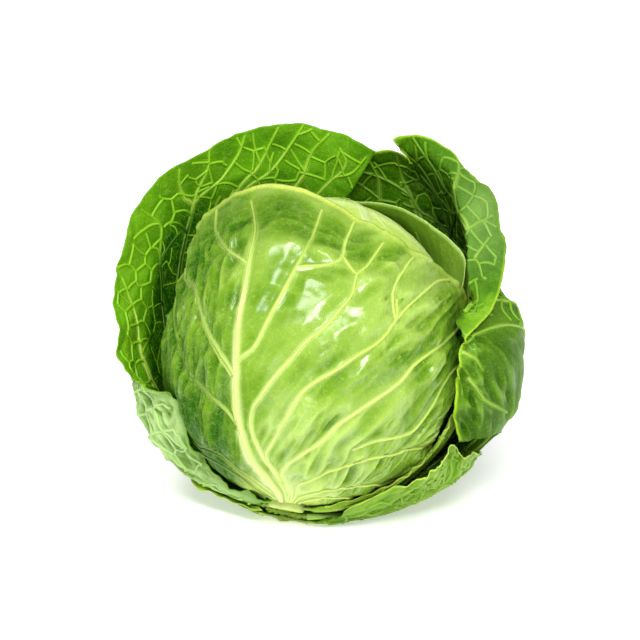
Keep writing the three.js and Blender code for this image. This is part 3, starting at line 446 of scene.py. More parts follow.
class Wire:
    def __init__(self, nodes, socket):
        self.nodes, self.socket = nodes, socket

    def math(self, operation, other, flip=False):
        values = (other, self) if flip else (self, other)
        return self.nodes.add("ShaderNodeMath", {"operation": operation}, {0: values[0], 1: values[1]})

    def __add__(self, other):
        return self.math("ADD", other)

    __radd__ = __add__

    def __sub__(self, other):
        return self.math("SUBTRACT", other)

    def __rsub__(self, other):
        return self.math("SUBTRACT", other, flip=True)

    def __mul__(self, other):
        return self.math("MULTIPLY", other)

    __rmul__ = __mul__

    def clamp(self):
        return self.nodes.add("ShaderNodeClamp", {}, {"Value": self})


class Nodes:
    def __init__(self, material):
        material.use_nodes = True
        self.tree = material.node_tree
        self.shader = self.tree.nodes["Principled BSDF"]

    def put(self, socket, value):
        if isinstance(value, Wire):
            self.tree.links.new(value.socket, socket)
        elif value is not None:
            socket.default_value = value

    def add(self, kind, settings, sockets, output=0):
        node = self.tree.nodes.new(kind)
        for name, value in settings.items():
            if name == "stops":
                for stop, (place, tint) in zip(node.color_ramp.elements, value):
                    stop.position, stop.color = place, tint
            else:
                setattr(node, name, value)
        for name, value in sockets.items():
            self.put(node.inputs[name], value)
        return Wire(self, node.outputs[output])

    def mix(self, share, a, b):
        return self.add("ShaderNodeMix", {"data_type": "RGBA"}, {0: share, 6: a, 7: b}, 2)

    def attribute(self, name):
        return self.add("ShaderNodeAttribute", {"attribute_name": name}, {}, 2)

    def remap(self, value, low, high, to=(0.0, 1.0)):
        return self.add("ShaderNodeMapRange", {"interpolation_type": "SMOOTHSTEP"},
                        {"Value": value, "From Min": low, "From Max": high, "To Min": to[0], "To Max": to[1]})


def leafMaterial(name, looks, gloss=0.36, glow=0.06, streaks=0.5, coat=0.2):
    # a waxy blade: two faces, darker cells, pale patches and veins, a light rim and a net of hair veins, with painted
    # shade and painted light laid on from an attribute
    material = bpy.data.materials.new(name)
    nodes = Nodes(material)
    place = nodes.add("ShaderNodeTexCoord", {}, {}, 3)
    inner, vein, toneAndPaintedShade, rim, pale, web = (nodes.attribute(key) for key in ("inner", "vein", "toneAndPaintedShade", "rim", "pale", "web"))
    broad = nodes.add("ShaderNodeTexNoise", {}, {"Vector": place, "Scale": 26.0, "Detail": 3.0, "Roughness": 0.55})
    mottle = nodes.add("ShaderNodeTexNoise", {}, {"Vector": place, "Scale": 120.0, "Detail": 4.0, "Roughness": 0.6})
    bent = nodes.add("ShaderNodeTexNoise", {}, {"Vector": place, "Scale": 300.0, "Detail": 1.0}, 1)
    warped = nodes.add("ShaderNodeMix", {"data_type": "VECTOR"}, {0: 0.004, 4: place, 5: bent}, 1)
    flat = nodes.add("ShaderNodeTexCoord", {}, {}, 2)
    drawn = nodes.add("ShaderNodeMapping", {}, {"Vector": flat, "Scale": (22.0, 6.0, 1.0)})
    streak = nodes.add("ShaderNodeTexNoise", {}, {"Vector": drawn, "Scale": 1.0, "Detail": 3.0, "Roughness": 0.6, "Distortion": 0.4})
    hair = nodes.add("ShaderNodeTexVoronoi", {"feature": "DISTANCE_TO_EDGE"}, {"Vector": warped, "Scale": 330.0})
    hairLine = nodes.remap(hair, 0.0, 0.09, (1.0, 0.0))
    blade = nodes.mix(inner, leafColour(looks["outer"]), leafColour(looks["inner"]))
    # the blade turns to its dark colour by random mottle and streaks, and by painted shade where the shade attribute is
    # below zero; above zero that attribute paints light and the pale halo by the ribs
    shade = (nodes.remap(broad, 0.35, 0.7) * 0.32 + nodes.remap(mottle, 0.45, 0.75) * 0.2
             + nodes.remap(streak, 0.48, 0.7) * (0.35 * streaks) + toneAndPaintedShade * -0.9).clamp()
    blade = nodes.mix(shade, blade, leafColour(looks["dark"]))
    blade = nodes.mix(toneAndPaintedShade.clamp(), blade, leafColour(looks.get("light", looks["vein"])))
    blade = nodes.mix(pale.clamp(), blade, leafColour(looks.get("pale", looks["vein"])))
    blade = nodes.mix(hairLine * 0.13, blade, leafColour(looks["vein"]))
    blade = nodes.mix(web.clamp(), blade, leafColour(looks.get("web", looks["vein"])))
    blade = nodes.mix(vein.clamp(), blade, leafColour(looks["vein"]))
    blade = nodes.mix(rim.clamp(), blade, leafColour(looks["rim"]))
    nodes.put(nodes.shader.inputs["Base Color"], blade)
    spread = nodes.add("ShaderNodeMapping", {}, {"Vector": flat, "Scale": (8.0, 4.0, 1.0)})
    patch = nodes.add("ShaderNodeTexNoise", {}, {"Vector": spread, "Scale": 1.0, "Detail": 2.0, "Distortion": 0.6})
    shine = nodes.remap(patch, 0.42, 0.6)
    nodes.put(nodes.shader.inputs["Roughness"], nodes.remap(mottle, 0.3, 0.75, (gloss, gloss + 0.14)) - shine * 0.08)
    nodes.put(nodes.shader.inputs["Coat Weight"], (shine * coat + toneAndPaintedShade * 0.9).clamp())
    height = hairLine * 0.3 + mottle * 0.7 + streak * (3.0 * streaks)
    bump = nodes.add("ShaderNodeBump", {}, {"Strength": 0.8, "Distance": 0.0007, "Height": height})
    nodes.put(nodes.shader.inputs["Normal"], bump)
    nodes.shader.inputs["Specular IOR Level"].default_value = 0.03
    nodes.shader.inputs["Subsurface Weight"].default_value = glow
    nodes.shader.inputs["Subsurface Radius"].default_value = (0.004, 0.005, 0.0015)
    nodes.shader.inputs["Subsurface Scale"].default_value = 1.0
    nodes.shader.inputs["Coat Roughness"].default_value = 0.2
    return material


def veinMaterial(name, looks):
    # thick veins are pale, the finest ones nearly as green as the blade, and all take the blade's painted shade
    material = bpy.data.materials.new(name)
    nodes = Nodes(material)
    place = nodes.add("ShaderNodeTexCoord", {}, {}, 3)
    patches = nodes.add("ShaderNodeTexNoise", {}, {"Vector": place, "Scale": 90.0, "Detail": 3.0})
    share = nodes.remap(nodes.attribute("thick"), 0.1, 0.5)
    paintedShade = (nodes.attribute("toneAndPaintedShade") * -0.95).clamp()
    tint = nodes.mix(share, leafColour(looks.get("web", looks["vein"])), leafColour(looks["vein"]))
    tint = nodes.mix(nodes.remap(patches, 0.35, 0.75) * 0.4, tint, leafColour(looks.get("light", looks["outer"])))
    tint = nodes.mix(nodes.attribute("pale"), tint, leafColour(looks.get("pale", looks["vein"])))
    nodes.put(nodes.shader.inputs["Base Color"], nodes.mix(paintedShade, tint, leafColour(looks["dark"])))
    nodes.put(nodes.shader.inputs["Roughness"], nodes.remap(patches, 0.3, 0.7, (0.4, 0.5)))
    nodes.shader.inputs["Specular IOR Level"].default_value = 0.15
    nodes.shader.inputs["Subsurface Weight"].default_value = 0.1
    nodes.shader.inputs["Subsurface Radius"].default_value = (0.004, 0.005, 0.002)
    nodes.shader.inputs["Subsurface Scale"].default_value = 1.0
    return material


# ---- meshes

def meshOf(name, points, faces, attributes=None, flat=None):
    mesh = bpy.data.meshes.new(name)
    points = np.asarray(points, np.float32) / 1000
    sizes = np.array([len(f) for f in faces], np.int32) if isinstance(faces, list) else np.full(len(faces), faces.shape[1])
    corners = np.concatenate([np.asarray(f) for f in faces]) if isinstance(faces, list) else faces.ravel()
    mesh.vertices.add(len(points))
    mesh.vertices.foreach_set("co", points.ravel())
    mesh.loops.add(len(corners))
    mesh.loops.foreach_set("vertex_index", corners.astype(np.int32))
    mesh.polygons.add(len(sizes))
    mesh.polygons.foreach_set("loop_start", np.concatenate([[0], np.cumsum(sizes)[:-1]]).astype(np.int32))
    mesh.update(calc_edges=True)
    mesh.validate()
    for key, values in (attributes or {}).items():
        mesh.attributes.new(key, "FLOAT", "POINT").data.foreach_set("value", np.asarray(values, np.float32).ravel())
    if flat is not None:
        index = np.empty(len(mesh.loops), np.int32)
        mesh.loops.foreach_get("vertex_index", index)
        mesh.uv_layers.new(name="blade").data.foreach_set("uv", flat[index].astype(np.float32).ravel())
    mesh.polygons.foreach_set("use_smooth", np.ones(len(mesh.polygons), bool))
    mesh.update()
    piece = bpy.data.objects.new(name, mesh)
    bpy.context.scene.collection.objects.link(piece)
    return piece


def nearest(points, targets, count=1, chunk=4000):
    # squared distances and places of the nearest targets
    points, targets = np.asarray(points, np.float32), np.asarray(targets, np.float32)
    far, which = [], []
    size = (targets ** 2).sum(1)
    for start in range(0, len(points), chunk):
        part = points[start:start + chunk]
        d = (part ** 2).sum(1)[:, None] - 2 * part @ targets.T + size
        if count == 1:
            k = d.argmin(1)[:, None]
        else:
            k = np.argpartition(d, count, axis=1)[:, :count]
            order = np.take_along_axis(d, k, 1).argsort(1)
            k = np.take_along_axis(k, order, 1)
        far.append(np.take_along_axis(d, k, 1))
        which.append(k)
    return np.sqrt(np.maximum(np.concatenate(far), 0)), np.concatenate(which)


def curveThrough(line, perPiece=14):
    # an even curve through given points
    p = np.asarray(line, float)
    p = np.concatenate([2 * p[:1] - p[1:2], p, 2 * p[-1:] - p[-2:-1]])
    out = []
    for i in range(1, len(p) - 2):
        f = np.linspace(0, 1, perPiece, endpoint=False)
        out.append(sum(w[:, None] * p[i + k - 1] for k, w in enumerate(weights(f))))
    return np.concatenate(out + [p[-2:-1]])


def growBranches(net, leaf, starts, headings, lengths, rng, step=1.6):
    # side veins that leave a rib and bend towards the rim, a step at a time
    here = np.array(starts, float)
    turn = np.array(headings, float)
    paths = [here.copy()]
    total = np.array(lengths, float)
    walked = np.zeros(len(here))
    bend = rng.uniform(-0.012, 0.012, len(here))
    for _ in range(int(total.max() / step) + 1):
        across, upward = slopes(net, here[:, 0], here[:, 1])
        along = unit(upward)
        normal = unit(np.cross(across, upward))
        side = np.cross(along, normal)
        heading = np.cos(turn)[:, None] * along + np.sin(turn)[:, None] * side
        # solves heading = a * across + b * upward
        aa, ab, bb = (across * across).sum(1), (across * upward).sum(1), (upward * upward).sum(1)
        ha, hb = (heading * across).sum(1), (heading * upward).sum(1)
        det = np.maximum(aa * bb - ab * ab, 1e-6)
        move = np.stack([(ha * bb - hb * ab) / det, (hb * aa - ha * ab) / det], 1) * step
        going = (walked < total) & (here[:, 1] < 0.985) & (here[:, 0] > 0.005) & (here[:, 0] < 0.995)
        here = np.where(going[:, None], here + move, here)
        here = np.clip(here, [0.004, 0.01], [0.996, 0.99])
        turn = turn * 0.985 + bend + rng.normal(0, 0.05, len(turn))
        walked = walked + step
        paths.append(here.copy())
    paths = np.stack(paths, 1)
    return [path[:max(2, int(length / step))] for path, length in zip(paths, total)]


def veinNet(net, leaf, ribs, rng):
    # seeds spread over the blade, and the lines that part them
    cell = leaf["cell"]
    wide, tall = 340, 170
    U, V = np.meshgrid(np.linspace(0.002, 0.998, wide), np.linspace(0.02, 0.998, tall), indexing="ij")
    P = bare(net, U.ravel(), V.ravel())
    seeds = []
    for rib in ribs:
        p = bare(net, rib[:, 0], rib[:, 1])
        run = np.concatenate([[0], np.cumsum(np.linalg.norm(np.diff(p, axis=0), axis=1))])
        for s in np.arange(cell * 0.5, run[-1], cell * 0.85):
            at = np.array([np.interp(s, run, rib[:, k]) for k in (0, 1)])
            ahead = np.array([np.interp(s + 1, run, p[:, k]) for k in range(3)])
            middle = np.array([np.interp(s, run, p[:, k]) for k in range(3)])
            n = normalAt(net, leaf, at[:1], at[1:])[0]
            side = np.cross(unit(ahead - middle), n)
            for sign in (-1, 1):
                seeds.append(middle + sign * side * cell * 0.45 + rng.normal(0, 0.4, 3))
    seeds = np.array(seeds)
    kept = []
    for s in seeds:
        if not kept or np.min(np.sum((np.array(kept) - s) ** 2, 1)) > (cell * 0.55) ** 2:
            kept.append(s)
    order = rng.permutation(len(P))
    reach = (cell * 0.8) ** 2
    grid = np.array(kept)
    for k in order[:26000]:
        if np.min(np.sum((grid - P[k]) ** 2, 1)) > reach:
            grid = np.concatenate([grid, P[k:k + 1]])
    label = nearest(P, grid)[1].reshape(wide, tall)
    corners = np.stack([label[:-1, :-1], label[1:, :-1], label[1:, 1:], label[:-1, 1:]], -1)
    ordered = np.sort(corners, -1)
    many = 1 + (np.diff(ordered, axis=-1) > 0).sum(-1)
    border = np.zeros_like(many, bool)
    border[0], border[-1], border[:, -1] = True, True, True
    nodes = {}
    for i, j in zip(*np.nonzero((many >= 3) | ((many == 2) & border))):
        key = tuple(sorted(set(corners[i, j].tolist())))
        at = np.array([(U[i, j] + U[i + 1, j + 1]) / 2, (V[i, j] + V[i + 1, j + 1]) / 2])
        nodes.setdefault(key, at)
    byPair = {}
    for key, at in nodes.items():
        for a in range(len(key)):
            for b in range(a + 1, len(key)):
                byPair.setdefault((key[a], key[b]), []).append(at)
    lines = []
    for ends in byPair.values():
        if len(ends) == 2 and np.hypot(*((ends[0] - ends[1]) * [1, 1])) < 0.2:
            lines.append(np.array(ends))
    return grid, lines


# ---- a tree that turns drawn lines into thin half-sunk veins

def veinTree():
    tree = bpy.data.node_groups.new("veinsAlongLines", "GeometryNodeTree")
    for name, kind, given in (("Lines", "NodeSocketGeometry", None), ("Thickness", "NodeSocketFloat", 1.0),
                              ("Sides", "NodeSocketInt", 5), ("Finish", "NodeSocketMaterial", None)):
        socket = tree.interface.new_socket(name, in_out="INPUT", socket_type=kind)
        if given is not None:
            socket.default_value = given
    tree.interface.new_socket("Veins", in_out="OUTPUT", socket_type="NodeSocketGeometry")
    make = tree.nodes.new
    start, end = make("NodeGroupInput"), make("NodeGroupOutput")
    curve, radius, profile = make("GeometryNodeMeshToCurve"), make("GeometryNodeSetCurveRadius"), make("GeometryNodeCurvePrimitiveCircle")
    sweep, realize, paint = make("GeometryNodeCurveToMesh"), make("GeometryNodeRealizeInstances"), make("GeometryNodeSetMaterial")
    thick, scale = make("GeometryNodeInputNamedAttribute"), make("ShaderNodeMath")
    thick.data_type = "FLOAT"
    thick.inputs["Name"].default_value = "thick"
    scale.operation = "MULTIPLY"
    profile.inputs["Radius"].default_value = 0.001
    link = tree.links.new
    link(start.outputs["Lines"], curve.inputs["Mesh"])
    link(thick.outputs["Attribute"], scale.inputs[0])
    link(start.outputs["Thickness"], scale.inputs[1])
    link(curve.outputs["Curve"], radius.inputs["Curve"])
    link(scale.outputs[0], radius.inputs["Radius"])
    link(start.outputs["Sides"], profile.inputs["Resolution"])
    link(radius.outputs["Curve"], sweep.inputs["Curve"])
    link(profile.outputs["Curve"], sweep.inputs["Profile Curve"])
    sweep.inputs["Fill Caps"].default_value = True
    link(sweep.outputs["Mesh"], realize.inputs["Geometry"])
    link(realize.outputs["Geometry"], paint.inputs["Geometry"])
    link(start.outputs["Finish"], paint.inputs["Material"])
    link(paint.outputs["Geometry"], end.inputs["Veins"])
    return tree


def drawVeins(name, tree, lines, material, thickness=1.0, sides=5):
    # lines: a list of (points in mm, and at each the thickness in mm, the blade's painted shade and its paleness)
    mesh = bpy.data.meshes.new(name + "_lines")
    points = np.concatenate([line for line, *_ in lines]) / 1000
    edges, first = [], 0
    for line, *_ in lines:
        edges.append(np.stack([np.arange(first, first + len(line) - 1), np.arange(first + 1, first + len(line))], 1))
        first += len(line)
    mesh.from_pydata(points.tolist(), np.concatenate(edges).tolist(), [])
    for key, part in (("thick", 1), ("toneAndPaintedShade", 2), ("pale", 3)):
        values = np.concatenate([line[part] for line in lines]).astype(np.float32)
        mesh.attributes.new(key, "FLOAT", "POINT").data.foreach_set("value", values)
    piece = bpy.data.objects.new(name, mesh)
    bpy.context.scene.collection.objects.link(piece)
    grow = piece.modifiers.new("veins", "NODES")
    grow.node_group = tree
    sockets = {s.name: s.identifier for s in tree.interface.items_tree if s.in_out == "INPUT"}
    grow[sockets["Thickness"]] = float(thickness)
    grow[sockets["Sides"]] = int(sides)
    grow[sockets["Finish"]] = material
    view = bpy.context.evaluated_depsgraph_get()
    made = bpy.data.meshes.new_from_object(piece.evaluated_get(view))
    piece.modifiers.clear()
    piece.data = made
    made.polygons.foreach_set("use_smooth", np.ones(len(made.polygons), bool))
    if not made.materials:
        made.materials.append(material)
    return piece


# ---- leaves

def latticeNoise(x, y, seed):
    # smooth random hills, about one to a unit
    rng = np.random.default_rng(seed)
    lattice = rng.uniform(-1, 1, (257, 257))
    i, j = np.floor(x).astype(int), np.floor(y).astype(int)
    f, g = x - i, y - j
    f, g = f * f * (3 - 2 * f), g * g * (3 - 2 * g)
    i, j = i % 256, j % 256
    low = lattice[i, j] * (1 - f) + lattice[i + 1, j] * f
    high = lattice[i, j + 1] * (1 - f) + lattice[i + 1, j + 1] * f
    return low * (1 - g) + high * g


def foldsAt(leaf, net, u, v):
    # long pleats between the ribs, in patches, and broad hills, in millimetres
    width = np.linalg.norm(slopes(net, np.full_like(v, 0.5), v)[0], axis=1)
    s, t = (u - 0.5) * width, v * leaf["run"]
    size, across, along = leaf["pleats"]
    # the pleats lean outwards with the ribs
    s = s - (0.14 + 0.26 * np.tanh((s + 30) / 45)) * t * leaf.get("lean", 0.0)
    bend = 0.8 * latticeNoise(s / 30 + 7, t / 34, 5)
    pleat = 1 - 2 * np.abs(latticeNoise(s / across + 40 + bend, t / along, 11))
    fine = 1 - 2 * np.abs(latticeNoise(s / (across * 0.42) + 90 + 2 * bend, t / (along * 0.45), 12))
    patch = smooth(latticeNoise(s / 22 + 60, t / 28 + 9, 8), -0.45, 0.35)
    hills = latticeNoise(s / 26 + 20, t / 26, 3)
    crumple = 1 - 2 * np.abs(latticeNoise(s / 9 + 33, t / 9 + 5, 14)) + 0.5 * latticeNoise(s / 4 + 3, t / 4, 15)
    height = size * (0.35 + 0.65 * patch) * (0.6 * pleat + 0.4 * fine) + leaf["hills"] * hills
    for u0, v0, ru, rv, high in leaf.get("crumples", []):
        height += high * crumple * np.exp(-((u - u0) / ru) ** 2 - ((v - v0) / rv) ** 2)
    return height


def waveAt(leaf, u, v):
    height = np.zeros_like(u)
    for count, size, start, phase in leaf["waves"]:
        height += size * np.sin(2 * np.pi * count * u + phase) * smooth(v, start, 1)
    for u0, v0, ru, rv, size in leaf["dents"]:
        height += size * np.exp(-((u - u0) / ru) ** 2 - ((v - v0) / rv) ** 2)
    return height


def rimCut(leaf, u, rng):
    # small uneven teeth in the rim
    cut = np.zeros_like(u)
    for count, size in ((5, 1.0), (9, 1.0), (17, 0.6), (37, 0.3), (71, 0.2)):
        cut += size * np.sin(2 * np.pi * count * u + rng.uniform(0, 6.28))
    return leaf["teeth"] * (0.5 + 0.5 * np.tanh(cut))


def blobs(spots, u, v, face=0):
    # soft round patches on the blade: place, reach, strength and, for some, the face they lie on
    total = u * 0.0
    for u0, v0, ru, rv, size, *side in spots:
        if not side or side[0] == face:
            total = total + size * np.exp(-((u - u0) / ru) ** 2 - ((v - v0) / rv) ** 2)
    return total


def makeLeaf(leaf, tree):
    rng = np.random.default_rng(sum(ord(letter) for letter in leaf["name"]))
    net = netOf(leaf)
    wide, tall = leaf["grid"]
    U, V = np.meshgrid(np.linspace(0, 1, wide), np.linspace(0, 1, tall), indexing="ij")
    u = U.ravel()
    cutAt = rimCut(leaf, np.linspace(0, 1, wide), rng)
    v = (V * (1 - cutAt[:, None] * smooth(V, 0.7, 1))).ravel()
    middle = bare(net, u, v)
    normal = normalAt(net, leaf, u, v)

    ribs = [curveThrough(line) for _, _, _, line in leaf["ribs"]]
    sides = []
    for (low, high, rise, _), rib in zip(leaf["ribs"], ribs):
        p = bare(net, rib[:, 0], rib[:, 1])
        run = np.concatenate([[0], np.cumsum(np.linalg.norm(np.diff(p, axis=0), axis=1))])
        places = np.arange(rng.uniform(14, 24), run[-1] - 6, leaf["branch"]) if leaf["branch"] else np.zeros(0)
        places = places + rng.uniform(-3, 3, len(places))
        starts = np.stack([np.interp(places, run, rib[:, k]) for k in (0, 1)], 1)
        tips = np.stack([np.interp(places + 2, run, p[:, k]) for k in range(3)], 1)
        feet = np.stack([np.interp(places, run, p[:, k]) for k in range(3)], 1)
        across, upward = slopes(net, starts[:, 0], starts[:, 1])
        along = unit(upward)
        side = np.cross(along, unit(np.cross(across, upward)))
        ahead = unit(tips - feet)
        base = np.arctan2((ahead * side).sum(1), (ahead * along).sum(1))
        sign = np.where(np.arange(len(places)) % 2 == 0, 1, -1)
        headings = base + sign * rng.uniform(0.55, 0.95, len(places))
        lengths = rng.uniform(14, 34, len(places)) * (0.7 if low < 1.2 else 1.0)
        if len(places):
            sides += growBranches(net, leaf, starts, headings, lengths, rng)

    ribPoints = [bare(net, rib[:, 0], rib[:, 1]) for rib in ribs]
    drawn = list(ribPoints)
    kept = []
    for path in sides:
        p = bare(net, path[:, 0], path[:, 1])
        away = nearest(p, np.concatenate(drawn))[0][:, 0]
        close = np.nonzero((away < 1.8) & (np.arange(len(p)) > 3))[0]
        if len(close):
            path, p = path[:close[0] + 1], p[:close[0] + 1]
        if len(path) > 3:
            kept.append(path)
            drawn.append(p)
    sides = kept
    drawn = np.concatenate(drawn)
    seeds, mesh = veinNet(net, leaf, ribs + sides, rng)
    mesh = [ends for ends in mesh if nearest(bare(net, *(ends.mean(0)[:, None])), drawn)[0][0, 0] > 1.7]
    plainAt = lambda u, v: blobs(leaf.get("plain", []), u, v)
    mesh = [ends for ends in mesh if plainAt(*ends.mean(0)) < 0.4 and rng.uniform() > 0.1]
    sides = [path for path in sides if plainAt(*path[len(path) // 2]) < 0.4]

    # how far each point is from the ribs, the side veins and the net
    samples, widths, rises, fades = [], [], [], []
    for (low, high, rise, _), rib in zip(leaf["ribs"], ribs):
        p = bare(net, rib[:, 0], rib[:, 1])
        t = np.linspace(0, 1, len(p))
        dense = np.linspace(0, 1, max(40, int(len(p) * 2)))
        samples.append(np.stack([np.interp(dense, t, p[:, k]) for k in range(3)], 1))
        widths.append(low + (high - low) * dense ** 0.8)
        rises.append(rise * (1 - 0.72 * dense) * smooth(1 - dense, 0, 0.06))
        fades.append(1 - 0.75 * smooth(dense, 0.65, 1))
    samples, widths, rises, fades = (np.concatenate(parts) for parts in (samples, widths, rises, fades))
    far, which = nearest(middle, samples, 3)
    ridge = (rises[which] * np.exp(-(far / widths[which]) ** 2)).max(1)
    ribShare = (fades[which] * np.exp(-(far / (widths[which] * 1.05)) ** 2.5)).max(1)
    halo = np.exp(-far[:, 0] / 5.0)
    farSide = np.full(len(middle), 50.0)
    if sides:
        farSide = nearest(middle, np.concatenate([bare(net, s[:, 0], s[:, 1]) for s in sides]))[0][:, 0]
    farSeed = nearest(middle, seeds, 2)[0]
    edge = (farSeed[:, 1] - farSeed[:, 0]) / 2
    blister = smooth(edge, 0.0, leaf["cell"] * 0.32) * smooth(np.minimum(farSide, far[:, 0]), 0, 3.5)
    bareShare = 1 - np.clip(plainAt(u, v), 0, 1)
    netShare = np.exp(-(edge / 0.7) ** 2) * leaf["netTint"] * bareShare
    sideShare = np.exp(-(farSide / 0.9) ** 2) * leaf["netTint"] * 1.6 * bareShare

    # the blade bulges to its inner face between the veins
    pucker = leaf["pucker"] * (smooth(v, 0.05, 0.3) * 0.8 + 0.2) * (0.6 + 0.4 * np.sin(u * 37 + v * 23))
    calm = 1 - 0.75 * np.exp(-(far[:, 0] / 2.5) ** 2)
    # hardly any folds where another leaf lies on this one
    covered = smooth(u, 0.7, 0.82) * (1 - smooth(v, 0.72, 0.86)) + (1 - smooth(u, 0.14, 0.24))
    calm = calm * (1 - leaf.get("covered", 0.0) * covered)
    folds = foldsAt(leaf, net, u, v) * calm * smooth(v, 0.03, 0.2)
    # painted shade from the folds: the colour is lighter on their ridges and darker in their valleys
    paintedFoldShade = folds * leaf.get("paintedFoldShadeStrength", 0.14)
    folds = folds + leaf.get("pillow", 0.0) * (smooth(far[:, 0], 1.5, 9.0) - 0.5)
    middle = middle + normal * (waveAt(leaf, u, v) + folds - pucker * bareShare * (blister - 0.4))[:, None]
    low = leaf["thickness"] + (0.65 - leaf["thickness"]) * smooth(v, 0, 0.8)
    thin = low * (1 - 0.35 * smooth(v, 0.985, 1.0))
    rolled = np.clip(blobs(leaf.get("rolled", []), u, v), 0, 1)
    lip = leaf.get("lip", 0.0) * np.exp(-((1 - V.ravel()) * leaf["run"] / 2.2) ** 2) * (0.2 + 0.8 * rolled)
    outer = standing(middle + normal * (thin / 2 + ridge + 0.25 * sideShare + lip)[:, None])
    inner = standing(middle - normal * (thin / 2 + ridge * 0.25)[:, None])
    outer[:, 2] = np.maximum(outer[:, 2], leaf["floor"])
    inner[:, 2] = np.maximum(inner[:, 2], leaf["floor"] + low)

    # the hidden face of a leaf has every second point only
    at = np.arange(wide * tall).reshape(wide, tall)
    coarse = leaf.get("innerStep", 1)
    back = wide * tall + np.arange(((wide - 1) // coarse + 1) * ((tall - 1) // coarse + 1)).reshape((wide - 1) // coarse + 1, -1)
    picked = at[::coarse, ::coarse].ravel()
    quads = [np.stack([a[:-1, :-1], a[1:, :-1], a[1:, 1:], a[:-1, 1:]], -1).reshape(-1, 4) for a in (at, back)]
    rings = [np.concatenate([a[:-1, 0], a[-1, :-1], a[:0:-1, -1], a[0, :0:-1]]) for a in (at, back)]
    ahead = [np.roll(ring, -1) for ring in rings]
    if coarse == 1:
        border = [[int(a) for a in four] for four in zip(ahead[0], rings[0], rings[1], ahead[1])]
    else:
        end, middleOf, begin = np.roll(rings[0], -2)[::2], ahead[0][::2], rings[0][::2]
        border = [[int(a) for a in five] for five in zip(end, middleOf, begin, rings[1], ahead[1])]
    faces = quads[0].tolist() + quads[1][:, ::-1].tolist() + border
    if leaf["turn"] < 0:
        faces = [face[::-1] for face in faces]

    length = np.linalg.norm(bare(net, u, np.full_like(u, 1.0)) - bare(net, u, np.full_like(u, 0.9)), axis=1) * 10
    rimShare = 1 - smooth((1 - V.ravel()) * length, leaf["rimWidth"] * 0.3, leaf["rimWidth"])
    shares = {"vein": [], "web": [], "toneAndPaintedShade": [], "pale": [], "rim": [], "inner": []}
    for face, keep in ((1, slice(None)), (-1, picked)):
        grown = {"vein": ribShare, "web": np.maximum(netShare, sideShare),
                 "rim": rimShare * (0.9 - leaf.get("rimFade", 0.0) * (1 - rolled)),
                 # the pale halo by the ribs, plus painted shade and painted light from the spots and the folds; the
                 # pale patches are lighter on the fold ridges, which is painted light too
                 "toneAndPaintedShade": leaf.get("halo", 0.25) * halo + blobs(leaf.get("spots", []), u, v, face) + paintedFoldShade * face,
                 "pale": (blobs(leaf.get("pales", []), u, v, face) * np.clip(0.75 + 1.3 * paintedFoldShade * face, 0.15, 1.1)
                          + 0.8 * (1 - smooth(v, 0.04, leaf.get("paleFrom", 0.2)))),
                 "inner": np.full(len(u), 0.5 - face / 2)}
        for key, values in grown.items():
            shares[key].append(values[keep])
    twice = lambda a: np.concatenate([a, a[picked]])
    across = (u - 0.5) * np.linalg.norm(slopes(net, np.full_like(v, 0.5), v)[0], axis=1)
    piece = meshOf(leaf["name"] + "_blade", np.concatenate([outer, inner[picked]]), faces,
                   {key: np.concatenate(values) for key, values in shares.items()},
                   twice(np.stack([across, v * leaf["run"]], 1) / 100))
    piece.data.materials.append(leafMaterial(leaf["name"] + "_wax", leaf["looks"], leaf.get("gloss", 0.42),
                                             streaks=leaf.get("streaks", 0.35), coat=leaf.get("coat", 0.15)))

    # fine veins lie half sunk in both faces
    def onFace(path, face, sink):
        # the place on the finished blade, between the grid's points
        grid = (outer if face > 0 else inner).reshape(wide, tall, 3)
        x = np.clip(path[:, 0], 0, 1) * (wide - 1)
        cutThere = np.interp(path[:, 0], np.linspace(0, 1, wide), cutAt)
        y = path[:, 1] * (1 + cutThere * smooth(path[:, 1], 0.7, 1)) * (tall - 1)
        i, j = np.minimum(x.astype(int), wide - 2), np.minimum(y.astype(int), tall - 2)
        f, g = (x - i)[:, None], np.clip(y - j, 0, 1)[:, None]
        p = (grid[i, j] * (1 - f) + grid[i + 1, j] * f) * (1 - g) + (grid[i, j + 1] * (1 - f) + grid[i + 1, j + 1] * f) * g
        n = standing(normalAt(net, leaf, path[:, 0], path[:, 1])) - standing(np.zeros(3))
        p = p - n * face * np.broadcast_to(sink, len(p))[:, None]
        p[:, 2] = np.maximum(p[:, 2], leaf["floor"] + 1.0)
        return p

    lines = []

    def drawOn(path, face, size, sink):
        # veins under the spots' painted shade are thinner and take that shade
        paintedShade = blobs(leaf.get("spots", []), path[:, 0], path[:, 1], face)
        washed = np.clip(blobs(leaf.get("pales", []), path[:, 0], path[:, 1], face), 0, 1)
        size = size * (1 - 0.55 * np.clip(-paintedShade, 0, 1))
        lines.append((onFace(path, face, sink), size, paintedShade, washed))

    for rib, (low, high, _, _) in zip(ribs, leaf["ribs"]):
        path = rib[rib[:, 1] < 0.985]
        taper = np.linspace(0, 1, len(path)) ** 0.7
        for face in leaf["ribFaces"]:
            reach = (low + (high * 0.7 - low) * taper) * (1 - 0.5 * smooth(taper, 0.7, 1)) * leaf.get("ribSize", 0.36)
            drawOn(path, face, reach, reach * 0.7 + 0.05)
    for path in sides:
        path = path[path[:, 1] < 0.975]
        if len(path) < 3:
            continue
        for face in leaf["netFaces"]:
            drawOn(path, face, leaf["sideSize"] * (0.88 - 0.12 * face) * np.linspace(1, 0.5, len(path)), 0.07)
    for ends in mesh if leaf["netSize"] > 0 else []:
        path = ends[0] + (ends[1] - ends[0]) * np.linspace(0, 1, 5)[:, None]
        path = path + np.sin(np.linspace(0, np.pi, 5))[:, None] * rng.normal(0, 0.0018, 2)
        if path[:, 1].max() > 0.985 or path[:, 1].min() < 0.12:
            continue
        size = leaf["netSize"] * rng.uniform(0.55, 1.2)
        for face in leaf["netFaces"]:
